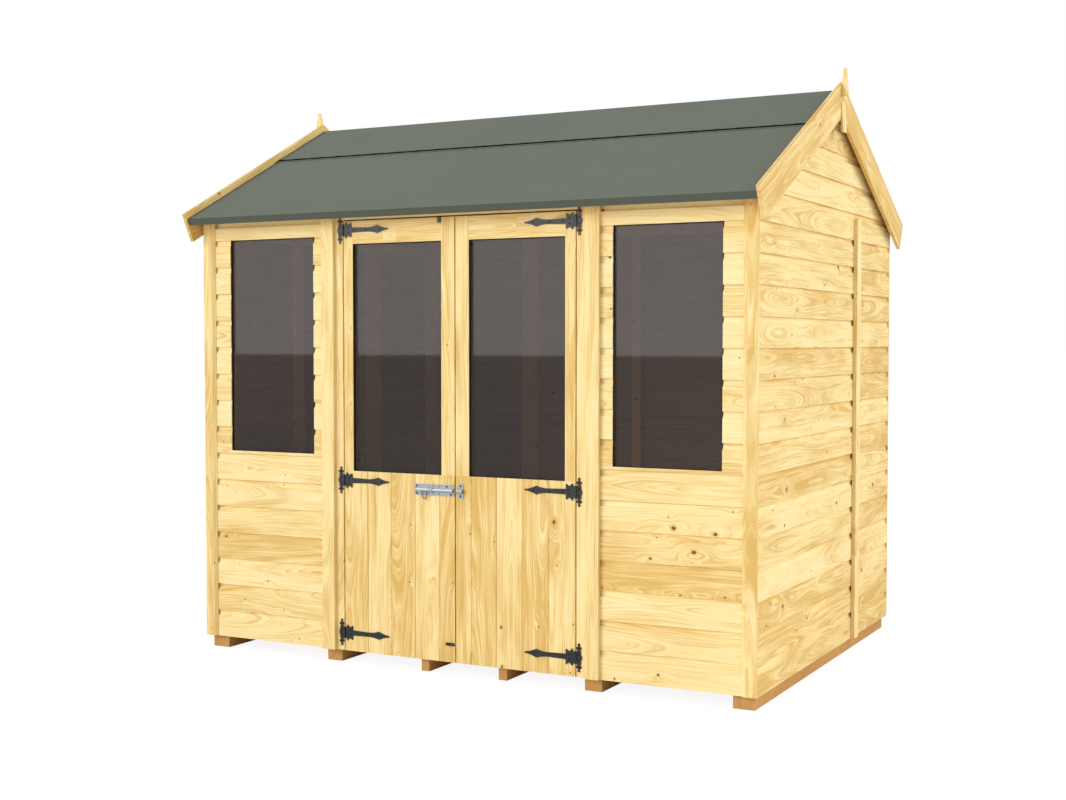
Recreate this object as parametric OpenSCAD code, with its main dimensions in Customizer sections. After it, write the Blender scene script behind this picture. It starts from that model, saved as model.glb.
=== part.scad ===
// Apex summerhouse: a timber building on bearers with a pair of glazed doors and two fixed
// windows in its long front, shiplap walls and a felted roof.
// Millimetres. The origin is the centre of the plan on the ground. +X runs along the front to
// the right, +Z is up, and the doors face -Y.

/* [Building] */
// Length of the front over the cladding
building_length = 2400; // [2300:10:2800]
// Depth of the gables over the cladding
building_depth = 1735; // [1500:5:2200]
// Height that each cladding board covers
course = 109; // [100:1:118]
// Courses from the bottom of the walls up to the window heads
head_courses = 15; // [14:1:16]
// Plain board above the window heads of the front
head_board = 50; // [30:1:70]
// Top plate left showing between the front cladding and the roof boards
plate_show = 63; // [50:1:90]

/* [Walls] */
// Thickness of the shiplap boards
clad_t = 14; // [11:0.5:18]
// Depth of the scoop along the top of each board
scoop_depth = 8; // [4:0.5:9]
// Height of the scoop along the top of each board
scoop_height = 25; // [15:1:35]
// Thickness of the wall framing behind the cladding
frame_t = 28; // [22:1:45]
// Width of the framing bars
frame_w = 44; // [30:1:50]
// Width of the cover strips over the joints between wall panels
cover_w = 57; // [40:1:65]
// Thickness of the cover strips
cover_t = 15; // [10:1:20]
// Face of a corner strip past the gable panel's end, down its splayed edge
corner_splay = 13; // [6:1:20]
// Thickness of the corner strips
corner_t = 10; // [6:1:14]
// Distance from the front of a gable to its panel joint
gable_joint = 1194; // [700:1:1300]

/* [Floor] */
// Height of the bearers
bearer_h = 50; // [38:1:75]
// Width of the end bearers
end_bearer_w = 80; // [50:1:100]
// Width of the doubled bearers under the door posts
post_bearer_w = 69; // [44:1:90]
// Width of the single bearers under the doorway
door_bearer_w = 35; // [28:1:50]
// Centre of the left single bearer
door_bearer_left = -147; // [-250:1:-80]
// Centre of the right single bearer
door_bearer_right = 194; // [80:1:250]
// Thickness of the floor boards
floor_t = 18; // [12:1:22]
// Width of one floor board
floor_board_w = 113; // [90:1:140]

/* [Windows] */
// Distance from a side window to the end of the building
window_outer = 131; // [100:1:200]
// Height of the window sills above the bottom of the walls
window_sill = 774; // [600:1:1000]
// Cladding between a side window and the door's cover strip
window_margin = 48; // [30:1:60]
// Thickness of the glass
glass_t = 4; // [3:0.5:6]
// How far the glass laps behind the edge of its opening
glass_lap = 8; // [5:1:12]

/* [Doors] */
// Width of one door leaf
leaf_w = 503; // [460:1:540]
// Gap round the door leaves
door_gap = 5.5; // [5.5:0.1:8]
// Door post showing between a leaf and the cover strip
post_show = 37; // [30:1:45]
// Distance from the top of the leaves down from the roof boards at the wall
leaf_drop = 56; // [54:1:70]
// Width of the stile on the hinge side
hinge_stile_w = 42; // [34:1:60]
// Width of the stile where the leaves meet
meeting_stile_w = 58; // [44:1:75]
// Height of the top rail
top_rail_h = 89; // [75:1:120]
// Height of the matchboarded lower panel
panel_h = 714; // [600:1:800]
// Width of one matchboard
matchboard_w = 109; // [80:1:120]
// Thickness of the matchboards
matchboard_t = 14; // [11:1:18]

/* [Roof] */
// Slope of the roof in degrees
roof_pitch = 26.35; // [20:0.05:32]
// Roof boards past the wall at the eaves
eaves_overhang = 75; // [60:1:110]
// Roof boards past the gable cladding
gable_overhang = 20; // [10:1:40]
// Thickness of the roof boards
roof_board_t = 12; // [9:1:18]
// Thickness of the roofing felt
felt_t = 3; // [2:0.5:4]
// Width of the ridge felt down each slope
ridge_felt_w = 398; // [300:1:600]
// Depth of the batten under the eaves
eaves_batten_h = 13; // [8:1:15]
// Width of the batten under the eaves
eaves_batten_w = 32; // [20:1:40]
// Depth of the purlins
purlin_h = 58; // [44:1:75]
// Width of the bargeboards
barge_w = 120; // [100:1:150]
// Thickness of the bargeboards
barge_t = 14; // [11:1:20]
// Bargeboard standing above the felt
barge_rise = 23; // [10:1:35]
// How much steeper the bargeboards stand than the roof, in degrees
barge_tilt = 0.35; // [0:0.05:1]
// Bargeboard past the felt at its lower end
barge_past = 11; // [5:1:30]
// Height of a finial's tip above the bargeboards
finial_rise = 53; // [30:1:90]

/* [Hinges] */
// Height of the hinge plates on the door posts
hinge_plate_h = 106; // [90:1:120]
// Length of a strap from its pin to its tip
strap_length = 210; // [160:1:230]
// Width of a strap where it leaves its T-plate
strap_w = 20.5; // [16:0.5:26]
// Width of a strap at its neck
strap_neck = 16.5; // [12:0.5:20]
// Width of a strap's spear head
spear_w = 32; // [26:1:38]
// Distance from the widest part of the spear head to its tip
spear_l = 50; // [40:1:60]
// Length of a T-plate from the pin
t_plate_l = 40; // [30:1:50]
// Rise of the T-plate's claws above its edge
claw_rise = 10.5; // [6:0.5:14]
// Thickness of the hinge plates and straps
hinge_t = 3; // [2:0.5:4]
// Width of the plates on the posts
post_plate_w = 16.5; // [14:0.5:20]
// Distance from the pin to the middle of the plate on the post
post_plate_x = 13.5; // [13:0.5:20]
// Diameter of the hinge knuckles
knuckle_d = 10; // [8:0.5:12]
// Diameter of the hinge pins
pin_d = 5; // [4:0.5:6]
// Height of the lower hinges above the bottom of the doors
low_hinge_z = 72; // [65:1:120]
// Distance from the top of the boarded panel down to the middle hinge
mid_hinge_drop = 38; // [30:1:80]
// Distance from the top of a leaf down to its upper hinge
top_hinge_drop = 35; // [35:1:60]

/* [Bolt] */
// Length of the bolt's plate
bolt_plate_l = 175; // [150:1:200]
// Height of the bolt's plate
bolt_plate_h = 43; // [36:1:50]
// Thickness of the bolt's plates
bolt_plate_t = 2.5; // [2:0.5:4]
// Distance from the leaf's edge to the bolt's plate
bolt_inset = 2; // [1:0.5:6]
// Diameter of the bolt's rod
rod_d = 10; // [8:0.5:12]
// Running clearance round the rod
rod_clear = 0.4; // [0.3:0.1:0.8]
// How far the rod slides
rod_travel = 29; // [20:1:32]
// Distance from the top of the boarded panel down to the rod
bolt_drop = 58; // [50:1:90]
// Distance from the plate's end to the middle of the staple over the rod
staple_x = 102; // [90:1:115]
// Width of the staple
staple_w = 20; // [14:1:24]
// Distance from the middle of the staple to the middle of the rod's loop
loop_x = 26; // [24:1:34]
// Radius of the loop
loop_r = 10.5; // [8:0.5:13]
// Thickness of the loop's wire
loop_wire = 4; // [3:0.5:5]
// Depth of the loop below the rod's middle
loop_drop = 36; // [28:1:40]
// Width of the keeper
keeper_w = 25; // [20:1:32]
// Height of the keeper
keeper_h = 58; // [50:1:66]
// Distance from the other leaf's edge to the keeper
keeper_inset = 9; // [6:1:14]

/* [Catches] */
// Width of the upper catch on the left leaf
top_catch_w = 14; // [10:1:20]
// Height of the upper catch
top_catch_h = 20; // [14:1:26]
// Distance from the leaf's edge to the upper catch
top_catch_x = 58; // [50:1:70]
// Width of the lower catch on the left leaf
low_catch_w = 36; // [24:1:48]
// Height of the lower catch
low_catch_h = 11; // [8:1:16]
// Distance from the leaf's edge to the lower catch
low_catch_x = 2; // [1:1:10]
// Height of the lower catch above the bottom of the doors
low_catch_z = 64; // [50:1:80]
// Thickness of both catches
catch_t = 5; // [3:0.5:8]

/* [Finials] */
// Height of a finial's drop below the spike's foot
drop_gap = 25; // [15:1:60]
// Length of a finial's drop
drop_l = 119; // [90:1:140]
// Depth of the spike's foot below the bargeboards' peak
spike_foot = 50; // [20:1:60]
// Width of the spike at its foot
spike_w = 42; // [34:1:50]
// Thickness of the spike at its foot
spike_t = 20; // [10:1:24]
// Width of the drop at its lower end
drop_w = 50; // [40:1:60]

/* [Hidden] */

fit = 0.3;                                   // clearance of a part laid in its rebate
lay = 0.05;                                  // joint between pieces laid on each other
half_l = building_length / 2;
half_d = building_depth / 2;
wall_t = clad_t + frame_t;
panel_end = half_l - wall_t;                 // where the front and back panels meet the gables
base_z = bearer_h;                           // underside of the walls and doors
deck_z = base_z + floor_t;
head_z = base_z + head_courses * course;     // window heads
front_clad_top = head_z + head_board;
plate_z = front_clad_top + plate_show;       // roof underside at the outer face of the walls
deck_setback = clad_t + 6;                   // floor behind the front and back faces

// Roof: s runs down the slope from the ridge, n is square to it, from the boards' underside
ridge_z = plate_z + half_d * tan(roof_pitch);
eaves_s = (half_d + eaves_overhang) / cos(roof_pitch);
felt_n = roof_board_t + lay + felt_t;
barge_top_n = roof_board_t + felt_t + barge_rise;
barge_bottom_n = barge_top_n - barge_w;
barge_pitch = roof_pitch + barge_tilt;
barge_ridge_z = ridge_z + (half_d + eaves_overhang) * (tan(barge_pitch) - tan(roof_pitch));
barge_s = (half_d + eaves_overhang) / cos(barge_pitch) + barge_past;
barge_peak_z = barge_ridge_z + barge_top_n / cos(barge_pitch);
roof_end = half_l + gable_overhang;
barge_face = roof_end + barge_t;

// Doorway
doorway_half = leaf_w + door_gap * 1.5;
strip_inner = doorway_half + post_show;
strip_outer = strip_inner + cover_w;
post_outer = strip_inner + cover_w / 2;
leaf_top = plate_z - leaf_drop;
leaf_bottom = base_z;
head_rail_z = leaf_top + door_gap;
pane_z0 = base_z + panel_h;
pane_z1 = leaf_top - top_rail_h;
leaf_floor_gap = 8;                          // back framing of a leaf above the floor

// Side windows
window_x0 = strip_outer + window_margin;
window_x1 = half_l - window_outer;
sill_z = base_z + window_sill;
pane_y = -half_d + clad_t + fit;

// Hinges
pin_x = doorway_half - door_gap / 2;
pin_y = -half_d - knuckle_d / 2 - 0.5;
knuckle_h = 42;
knuckle_part = 12;
hinge_heights = [
  base_z + low_hinge_z, base_z + panel_h - mid_hinge_drop, leaf_top - top_hinge_drop
];

// Bolt: the rod lies in front of the left leaf's plate, and x runs from the plate's end
bolt_end = -door_gap / 2 - bolt_inset;
bolt_face = -half_d - bolt_plate_t;
rod_y = bolt_face - 1 - rod_d / 2;
rod_z = base_z + panel_h - bolt_drop;
rod_length = bolt_plate_l - 8;
guide_r = rod_d / 2 + 3;

// ---------------------------------------------------------------- helpers

module block(x0, x1, y0, y1, z0, z1) {
  translate([x0, y0, z0]) cube([x1 - x0, y1 - y0, z1 - z0]);
}

// Extrudes a (y, z) outline from x0 to x1
module along_x(x0, x1) {
  translate([x0, 0, 0]) rotate([90, 0, 90]) linear_extrude(x1 - x0) children();
}

// Extrudes an (x, z) outline from y0 to y1
module along_y(y0, y1) {
  translate([0, y1, 0]) rotate([90, 0, 0]) linear_extrude(y1 - y0) children();
}

module both_sides() {
  children();
  mirror([1, 0, 0]) children();
}

module front_and_back() {
  children();
  mirror([0, 1, 0]) children();
}

// A point of the front slope as (y, z)
function slope_point(s, n, pitch = roof_pitch, top = ridge_z) =
  [-s * cos(pitch) - n * sin(pitch), top - s * sin(pitch) + n * cos(pitch)];

// Where a layer of the front slope at height n meets the ridge line
function ridge_point(n, pitch = roof_pitch, top = ridge_z) =
  slope_point(-n * tan(pitch), n, pitch, top);

// A layer of the front slope between heights n0 and n1, mitred at the ridge
module slope_layer(n0, n1, s_end, x0, x1, pitch = roof_pitch, top = ridge_z) {
  along_x(x0, x1) polygon([
    ridge_point(n0, pitch, top), slope_point(s_end, n0, pitch, top),
    slope_point(s_end, n1, pitch, top), ridge_point(n1, pitch, top)
  ]);
}

// Outer edge of one shiplap board: a flat face and a cove along its top, as (depth, height)
function board_edge(z) = concat(
  [[0, z], [0, z + course - scoop_height]],
  [for (a = [30 : 30 : 90])
    [scoop_depth * sin(a), z + course - scoop_height + 0.8 * scoop_height * (1 - cos(a))]],
  [[scoop_depth, z + course]]
);

// Shiplap cladding in section: depth from the outer face, height from the wall's bottom
module shiplap(h) {
  boards = ceil(h / course);
  intersection() {
    polygon(concat(
      [for (k = [0 : boards - 1]) each board_edge(k * course)],
      [[clad_t, boards * course], [clad_t, 0]]
    ));
    square([clad_t, h]);
  }
}

// Outline of a gable under the roof boards as (y, z), set in from the walls' outer faces
module gable_outline(z0, inset = 0) {
  polygon([
    [-half_d + inset, z0], [half_d - inset, z0],
    [half_d - inset, plate_z + inset * tan(roof_pitch)], [0, ridge_z],
    [-half_d + inset, plate_z + inset * tan(roof_pitch)]
  ]);
}

// Top plate of an eaves wall from height z0, bevelled to the roof
module top_plate(x0, x1, z0) {
  y0 = -half_d + clad_t;
  y1 = -half_d + wall_t;
  along_x(x0, x1) polygon([
    [y0, z0], [y1, z0],
    [y1, plate_z + wall_t * tan(roof_pitch)], [y0, plate_z + clad_t * tan(roof_pitch)]
  ]);
}

// ---------------------------------------------------------------- floor

module bearer(x, w) {
  block(x - w / 2, x + w / 2, -half_d + deck_setback, half_d - deck_setback, 0, bearer_h);
}

module bearers() {
  color("#cd9b5a") {
    both_sides() bearer(half_l - clad_t - end_bearer_w / 2, end_bearer_w);
    both_sides() bearer(post_outer - 6, post_bearer_w);
    bearer(door_bearer_left, door_bearer_w);
    bearer(door_bearer_right, door_bearer_w);
  }
}

// Tongued boards laid along X, with a V where two boards meet
module floor_boards() {
  v = 2.5;
  y0 = -half_d + deck_setback;
  y1 = half_d - deck_setback;
  joints = [for (y = [y0 + floor_board_w : floor_board_w : y1 - floor_board_w / 3]) y];
  color("#e3c283") along_x(-half_l + clad_t, half_l - clad_t) polygon(concat(
    [[y0, base_z], [y0, deck_z]],
    [for (y = joints) each [[y - v, deck_z], [y, deck_z - v], [y + v, deck_z]]],
    [[y1, deck_z], [y1, base_z]]
  ));
}

// ---------------------------------------------------------------- front wall

module front_wall() {
  color("#f5d78d") difference() {
    along_x(post_outer, panel_end)
      translate([-half_d, base_z]) shiplap(front_clad_top - base_z);
    block(window_x0, window_x1, -half_d - 1, -half_d + clad_t + 1, sill_z, head_z);
  }
}

module front_right_wall() { front_wall(); }
module front_left_wall() { mirror([1, 0, 0]) front_wall(); }

module front_frames() {
  y0 = -half_d + clad_t;
  y1 = -half_d + wall_t;
  x0 = window_x0 - glass_lap;
  x1 = window_x1 + glass_lap;
  rail_top = sill_z - glass_lap;
  color("#ecca80") both_sides() {
    block(x0 - frame_w, x0, y0, y1, deck_z, head_z + glass_lap);
    block(x1, panel_end, y0, y1, deck_z, head_z + glass_lap);
    block(x0, x1, y0, y1, rail_top - frame_w, rail_top);
    block(x0, x1, y0, y1, deck_z, deck_z + frame_w);
    top_plate(post_outer, panel_end, head_z + glass_lap);
  }
}

module window_glass() {
  color("#57504c") block(
    window_x0 - glass_lap + fit, window_x1 + glass_lap - fit, pane_y, pane_y + glass_t,
    sill_z - glass_lap + fit, head_z + glass_lap - fit
  );
}

module right_window_glass() { window_glass(); }
module left_window_glass() { mirror([1, 0, 0]) window_glass(); }

// Posts run down in front of the floor boards' edge and stand on the floor behind it
module door_posts() {
  color("#f6dc98") both_sides() difference() {
    along_x(doorway_half, post_outer) polygon([
      [-half_d, base_z], [-half_d + wall_t, base_z],
      [-half_d + wall_t, plate_z + wall_t * tan(roof_pitch)], [-half_d, plate_z]
    ]);
    block(0, half_l, -half_d + deck_setback, 0, base_z - 1, deck_z);
  }
}

module door_head() {
  color("#ecca80") along_x(-doorway_half, doorway_half) polygon([
    [-half_d, head_rail_z], [-half_d + wall_t, head_rail_z],
    [-half_d + wall_t, plate_z + wall_t * tan(roof_pitch)], [-half_d, plate_z]
  ]);
}

module door_cover_strips() {
  color("#f8e0a0") both_sides()
    block(strip_inner, strip_outer, -half_d - cover_t, -half_d,
      base_z, plate_z - cover_t * tan(roof_pitch) - 1);
}

// ---------------------------------------------------------------- gables and back

module gable_wall() {
  color("#f5d78d") intersection() {
    along_y(-half_d, half_d)
      translate([half_l, base_z]) mirror([1, 0]) shiplap(ridge_z - base_z);
    along_x(half_l - clad_t, half_l) gable_outline(base_z);
  }
}

module right_gable_wall() { gable_wall(); }
module left_gable_wall() { mirror([1, 0, 0]) gable_wall(); }

// Rafters, eaves rail and bottom rail, with a stud in each long bay and two at the panel joint
module gable_frame() {
  slope_w = frame_w / cos(roof_pitch);
  rail_top = plate_z - slope_w;
  studs = [[gable_joint / 2, frame_w], [gable_joint, 2 * frame_w]];
  color("#ecca80") along_x(half_l - wall_t, half_l - clad_t) difference() {
    gable_outline(deck_z);
    difference() {
      polygon([
        [-half_d + frame_w, deck_z + frame_w], [half_d - frame_w, deck_z + frame_w],
        [half_d - frame_w, rail_top + frame_w * tan(roof_pitch)],
        [0, ridge_z - slope_w],
        [-half_d + frame_w, rail_top + frame_w * tan(roof_pitch)]
      ]);
      translate([-half_d, rail_top - frame_w]) square([building_depth, frame_w]);
      for (stud = studs)
        translate([-half_d + stud[0] - stud[1] / 2, deck_z])
          square([stud[1], rail_top - deck_z]);
    }
  }
}

module right_gable_frame() { gable_frame(); }
module left_gable_frame() { mirror([1, 0, 0]) gable_frame(); }

module back_wall() {
  color("#f5d78d") mirror([0, 1, 0]) along_x(-panel_end, panel_end)
    translate([-half_d, base_z]) shiplap((head_courses + 1) * course);
}

// Three panels as in the front: studs at the ends and the middle, and two at each joint
module back_frame() {
  y0 = half_d - wall_t;
  y1 = half_d - clad_t;
  plate_bottom = plate_z + wall_t * tan(roof_pitch) - frame_w;
  color("#ecca80") {
    mirror([0, 1, 0]) top_plate(-panel_end, panel_end, plate_bottom);
    block(-panel_end, panel_end, y0, y1, deck_z, deck_z + frame_w);
    block(-frame_w / 2, frame_w / 2, y0, y1, deck_z, plate_bottom);
    both_sides() {
      block(panel_end - frame_w, panel_end, y0, y1, deck_z, plate_bottom);
      block(post_outer - frame_w, post_outer + frame_w, y0, y1, deck_z, plate_bottom);
    }
  }
}

// Strips over the joints of the gable panels and of the back panels
module panel_cover_strips() {
  joint_y = -half_d + gable_joint;
  color("#f8e0a0") both_sides() {
    block(half_l, half_l + cover_t, joint_y - cover_w / 2, joint_y + cover_w / 2,
      base_z, head_z + course * 0.8);
    block(post_outer - cover_w / 2, post_outer + cover_w / 2, half_d, half_d + cover_t,
      base_z, plate_z - cover_t * tan(roof_pitch) - 1);
  }
}

// Corner strip: covers the gable panel's end, with a splayed edge over the front cladding
module corner_strip() {
  top = plate_z - corner_t * tan(roof_pitch) - 1;
  color("#f8e0a0") translate([0, 0, base_z]) linear_extrude(top - base_z) polygon([
    [half_l, -half_d], [half_l, -half_d - corner_t], [panel_end, -half_d - corner_t],
    [panel_end - corner_splay, -half_d - 2], [panel_end - corner_splay, -half_d]
  ]);
}

module front_corner_strips() { both_sides() corner_strip(); }
module back_corner_strips() { mirror([0, 1, 0]) both_sides() corner_strip(); }

// ---------------------------------------------------------------- roof

module roof_boards() {
  color("#d9b878") slope_layer(lay, roof_board_t, eaves_s, -roof_end, roof_end);
}

module front_roof_boards() { roof_boards(); }
module back_roof_boards() { mirror([0, 1, 0]) roof_boards(); }

// Ridge board and one purlin half way down each slope, between the gable frames
module roof_purlins() {
  mid_s = eaves_s / 2;
  ridge_half = frame_t / 2;
  drop = ridge_half * tan(roof_pitch);
  top = ridge_z - lay;
  color("#ecca80") {
    along_x(-panel_end, panel_end) polygon([
      [-ridge_half, ridge_z - purlin_h], [ridge_half, ridge_z - purlin_h],
      [ridge_half, top - drop], [0, top], [-ridge_half, top - drop]
    ]);
    front_and_back() along_x(-panel_end, panel_end) polygon([
      slope_point(mid_s - frame_t / 2, -lay), slope_point(mid_s + frame_t / 2, -lay),
      slope_point(mid_s + frame_t / 2, -purlin_h), slope_point(mid_s - frame_t / 2, -purlin_h)
    ]);
  }
}

module eaves_battens() {
  top_s = eaves_s - eaves_batten_w;
  end_s = eaves_s - lay;
  color("#d9b878") front_and_back() along_x(-roof_end, roof_end) polygon([
    slope_point(top_s, -lay), slope_point(end_s, -lay),
    slope_point(end_s, -eaves_batten_h), slope_point(top_s, -eaves_batten_h)
  ]);
}

// One sheet of felt on a slope, turned down over the eaves
module felt() {
  under = roof_board_t + lay;
  fold_s = eaves_s + lay;
  color("#6f766a") along_x(-roof_end, roof_end) polygon([
    ridge_point(under), slope_point(fold_s, under),
    slope_point(fold_s, -eaves_batten_h), slope_point(eaves_s + felt_t, -eaves_batten_h),
    slope_point(eaves_s + felt_t, felt_n), ridge_point(felt_n)
  ]);
}

module front_felt() { felt(); }
module back_felt() { mirror([0, 1, 0]) felt(); }

module ridge_felt() {
  color("#6f766a") front_and_back()
    slope_layer(felt_n + lay, felt_n + lay + felt_t, ridge_felt_w, -roof_end, roof_end);
}

module barge() {
  color("#f3d285") slope_layer(
    barge_bottom_n, barge_top_n, barge_s, roof_end, barge_face, barge_pitch, barge_ridge_z
  );
}

module front_right_barge() { barge(); }
module back_right_barge() { mirror([0, 1, 0]) barge(); }
module front_left_barge() { mirror([1, 0, 0]) barge(); }
module back_left_barge() { mirror([1, 0, 0]) mirror([0, 1, 0]) barge(); }

// Tapered spike on the peak and a wedge-shaped drop below it, both on the bargeboards' faces
module finial() {
  tip_z = barge_peak_z + finial_rise;
  foot_z = barge_peak_z - spike_foot;
  drop_top = foot_z - drop_gap;
  drop_bottom = drop_top - drop_l;
  tip_w = spike_w * 0.4;
  tip_t = spike_t * 0.35;
  tip_face = barge_face + spike_t * 0.65;
  chamfer = spike_foot * 0.8;
  color("#f8e0a0") {
    tapered_block(foot_z, tip_z, spike_w / 2, tip_w / 2) polygon([
      [barge_face, foot_z], [barge_face + spike_t, foot_z],
      [tip_face, tip_z], [tip_face - tip_t, tip_z],
      [barge_face, foot_z + chamfer]
    ]);
    tapered_block(drop_bottom, drop_top, drop_w / 2, drop_w * 0.44) polygon([
      [barge_face, drop_bottom], [barge_face + drop_w * 0.2, drop_bottom],
      [barge_face + drop_w * 0.06, drop_top], [barge_face, drop_top]
    ]);
  }
}

// An (x, z) outline given a width that changes from half_w0 at z0 to half_w1 at z1
module tapered_block(z0, z1, half_w0, half_w1) {
  reach = 2 * spike_t;
  intersection() {
    along_x(barge_face, barge_face + reach)
      polygon([[-half_w0, z0], [half_w0, z0], [half_w1, z1], [-half_w1, z1]]);
    along_y(-max(half_w0, half_w1), max(half_w0, half_w1)) children();
  }
}

module right_finial() { finial(); }
module left_finial() { mirror([1, 0, 0]) finial(); }

// ---------------------------------------------------------------- doors

// One leaf's framing, as the right leaf: stiles and top rail show beside and over the glass,
// and the rest stands behind the matchboards
module door_frame() {
  x0 = door_gap / 2;
  x1 = x0 + leaf_w;
  front_t = -half_d + matchboard_t;
  back_y = front_t + frame_t;
  inner0 = x0 + meeting_stile_w;
  inner1 = x1 - hinge_stile_w;
  low_z = deck_z + leaf_floor_gap;
  color("#f6dc98") difference() {
    union() {
      block(x0, x1, -half_d, front_t, pane_z0, leaf_top);
      block(x0 + 5, x1 - 3, front_t, back_y, low_z, leaf_top);
    }
    block(inner0, inner1, -half_d - 1, back_y + 1, pane_z0, pane_z1);
    block(inner0 - glass_lap, inner1 + glass_lap, front_t, back_y + 1,
      pane_z0 - glass_lap, pane_z1 + glass_lap);
    block(inner0, inner1, -half_d, back_y + 1,
      low_z + frame_w * 2, pane_z0 - glass_lap - frame_w);
  }
}

module door_boards() {
  v = 3;
  narrowest = 20;
  x1 = door_gap / 2 + leaf_w;
  y0 = -half_d;
  y1 = -half_d + matchboard_t;
  joints = [for (x = [x1 - matchboard_w : -matchboard_w : door_gap / 2 + narrowest]) x];
  color("#f5d78d") translate([0, 0, base_z]) linear_extrude(panel_h) polygon(concat(
    [[x1, y1], [x1, y0]],
    [for (x = joints) each [[x + v, y0], [x, y0 + v], [x - v, y0]]],
    [[door_gap / 2, y0], [door_gap / 2, y1]]
  ));
}

module door_glass() {
  x0 = door_gap / 2 + meeting_stile_w - glass_lap + fit;
  x1 = door_gap / 2 + leaf_w - hinge_stile_w + glass_lap - fit;
  y0 = -half_d + matchboard_t + fit;
  color("#57504c") block(x0, x1, y0, y0 + glass_t,
    pane_z0 - glass_lap + fit, pane_z1 + glass_lap - fit);
}

module right_door_frame() { door_frame(); }
module left_door_frame() { mirror([1, 0, 0]) door_frame(); }
module right_door_boards() { door_boards(); }
module left_door_boards() { mirror([1, 0, 0]) door_boards(); }
module right_door_glass() { door_glass(); }
module left_door_glass() { mirror([1, 0, 0]) door_glass(); }

// ---------------------------------------------------------------- hinges

// Points from (x0, y0) to (x1, y1) on a curve that starts flat
function flare(x0, x1, y0, y1, bend) = [
  for (k = [0 : 6]) let (t = k / 6) [x0 + (x1 - x0) * t, y0 + (y1 - y0) * pow(t, bend)]
];

function reversed(points) = [for (i = [len(points) - 1 : -1 : 0]) points[i]];

// The same points on the other side of the X axis
function across(points) = [for (p = reversed(points)) [p[0], -p[1]]];

// Strap with its spear head in outline, with the pin at the origin and the strap along +X
module strap_outline() {
  spear_x = strap_length - spear_l;
  tip_r = 3.4;
  side = concat(
    [[t_plate_l - 1, strap_w / 2]],
    flare(spear_x - spear_l, spear_x, strap_neck / 2, spear_w / 2, 2.4),
    reversed(flare(strap_length - tip_r, spear_x + 1.5, tip_r - 0.6, spear_w / 2, 1.5))
  );
  polygon(concat(side, across(side)));
  translate([strap_length - tip_r, 0]) circle(r = tip_r, $fn = 16);
}

// T-plate in outline: a claw turned back from the pin and one turned to it, above and below
module t_plate_outline() {
  edge = knuckle_h / 2;
  tip = edge + claw_rise;
  far = t_plate_l;
  side = [
    [2, edge], [8, edge], [10, edge + 2], [far * 0.29, tip - 1], [far * 0.34, tip],
    [far * 0.41, tip - 2], [far * 0.55, edge + 2], [far * 0.66, edge + 1],
    [far * 0.78, edge + 3], [far * 0.9, tip - 3.5], [far * 0.97, tip - 3.5], [far, tip - 5.5]
  ];
  polygon(concat(side, across(side)));
}

// Plate on the door post in outline, with the pin at the origin: a baluster with a bead and a
// rounded tip at each end
module post_plate_outline() {
  half = hinge_plate_h / 2;
  w = post_plate_w / 2;
  tip_r = 5;
  bead_drop = 18.5;
  bead_half = 9;
  bead_z = half - bead_drop;
  translate([-post_plate_x, 0]) {
    square([2 * w, 2 * (bead_z - bead_half)], center = true);
    square([1.1 * w, 2 * bead_z], center = true);
    square([tip_r * 1.1, 2 * (half - tip_r)], center = true);
    translate([-w, 0]) scale([0.5, 1.2]) circle(d = w * 2, $fn = 24);
    for (m = [-1, 1]) {
      translate([0, m * bead_z]) scale([1.6, 1]) circle(r = 7, $fn = 24);
      translate([0, m * (half - tip_r)]) circle(r = tip_r, $fn = 24);
    }
  }
}

module at_pin(z) {
  translate([pin_x, pin_y, z]) children();
}

// Stands an outline up against the wall's face, behind the pin
module against_wall() {
  translate([0, -half_d - pin_y, 0]) rotate([90, 0, 0]) linear_extrude(hinge_t) children();
}

module knuckle(z0, z1) {
  translate([0, 0, z0]) cylinder(d = knuckle_d, h = z1 - z0, $fn = 32);
}

module pin_bore() {
  translate([0, 0, -knuckle_h]) cylinder(d = pin_d + 2 * fit, h = knuckle_h * 2, $fn = 32);
}

// The moving half of a right-hand hinge: the strap runs towards the middle of the doorway
module hinge_strap() {
  half = knuckle_h / 2;
  middle = half - knuckle_part;
  leaf_y = -half_d - pin_y;
  difference() {
    union() {
      against_wall() mirror([1, 0]) {
        strap_outline();
        t_plate_outline();
      }
      for (z = [[-half, -half + knuckle_part], [half - knuckle_part, half]]) {
        knuckle(z[0], z[1]);
        block(-knuckle_d, 0, leaf_y - hinge_t, leaf_y, z[0], z[1]);
      }
    }
    pin_bore();
    block(-knuckle_d / 2 - 0.6, knuckle_d, leaf_y - hinge_t - knuckle_d, leaf_y + 1,
      -middle, middle);
  }
}

// The fixed half, with the pin and its heads
module hinge_post_plate() {
  half = knuckle_h / 2 - knuckle_part - 0.5;
  head_z = knuckle_h / 2 + fit;
  leaf_y = -half_d - pin_y;
  against_wall() mirror([1, 0]) post_plate_outline();
  knuckle(-half, half);
  block(0, knuckle_d, leaf_y - hinge_t, leaf_y, -half, half);
  translate([0, 0, -head_z]) cylinder(d = pin_d, h = 2 * head_z, $fn = 32);
  for (m = [-1, 1]) translate([0, 0, m * (head_z + 0.75)])
    cylinder(d = pin_d + 2.4, h = 1.5, center = true, $fn = 32);
}

module door_hinges() {
  color("#3f4142") for (z = hinge_heights) at_pin(z) hinge_strap();
}

module right_door_hinges() { door_hinges(); }
module left_door_hinges() { mirror([1, 0, 0]) door_hinges(); }

module post_hinge_plates() {
  color("#3f4142") both_sides() for (z = hinge_heights) at_pin(z) hinge_post_plate();
}

// ---------------------------------------------------------------- bolt and catches

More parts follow.
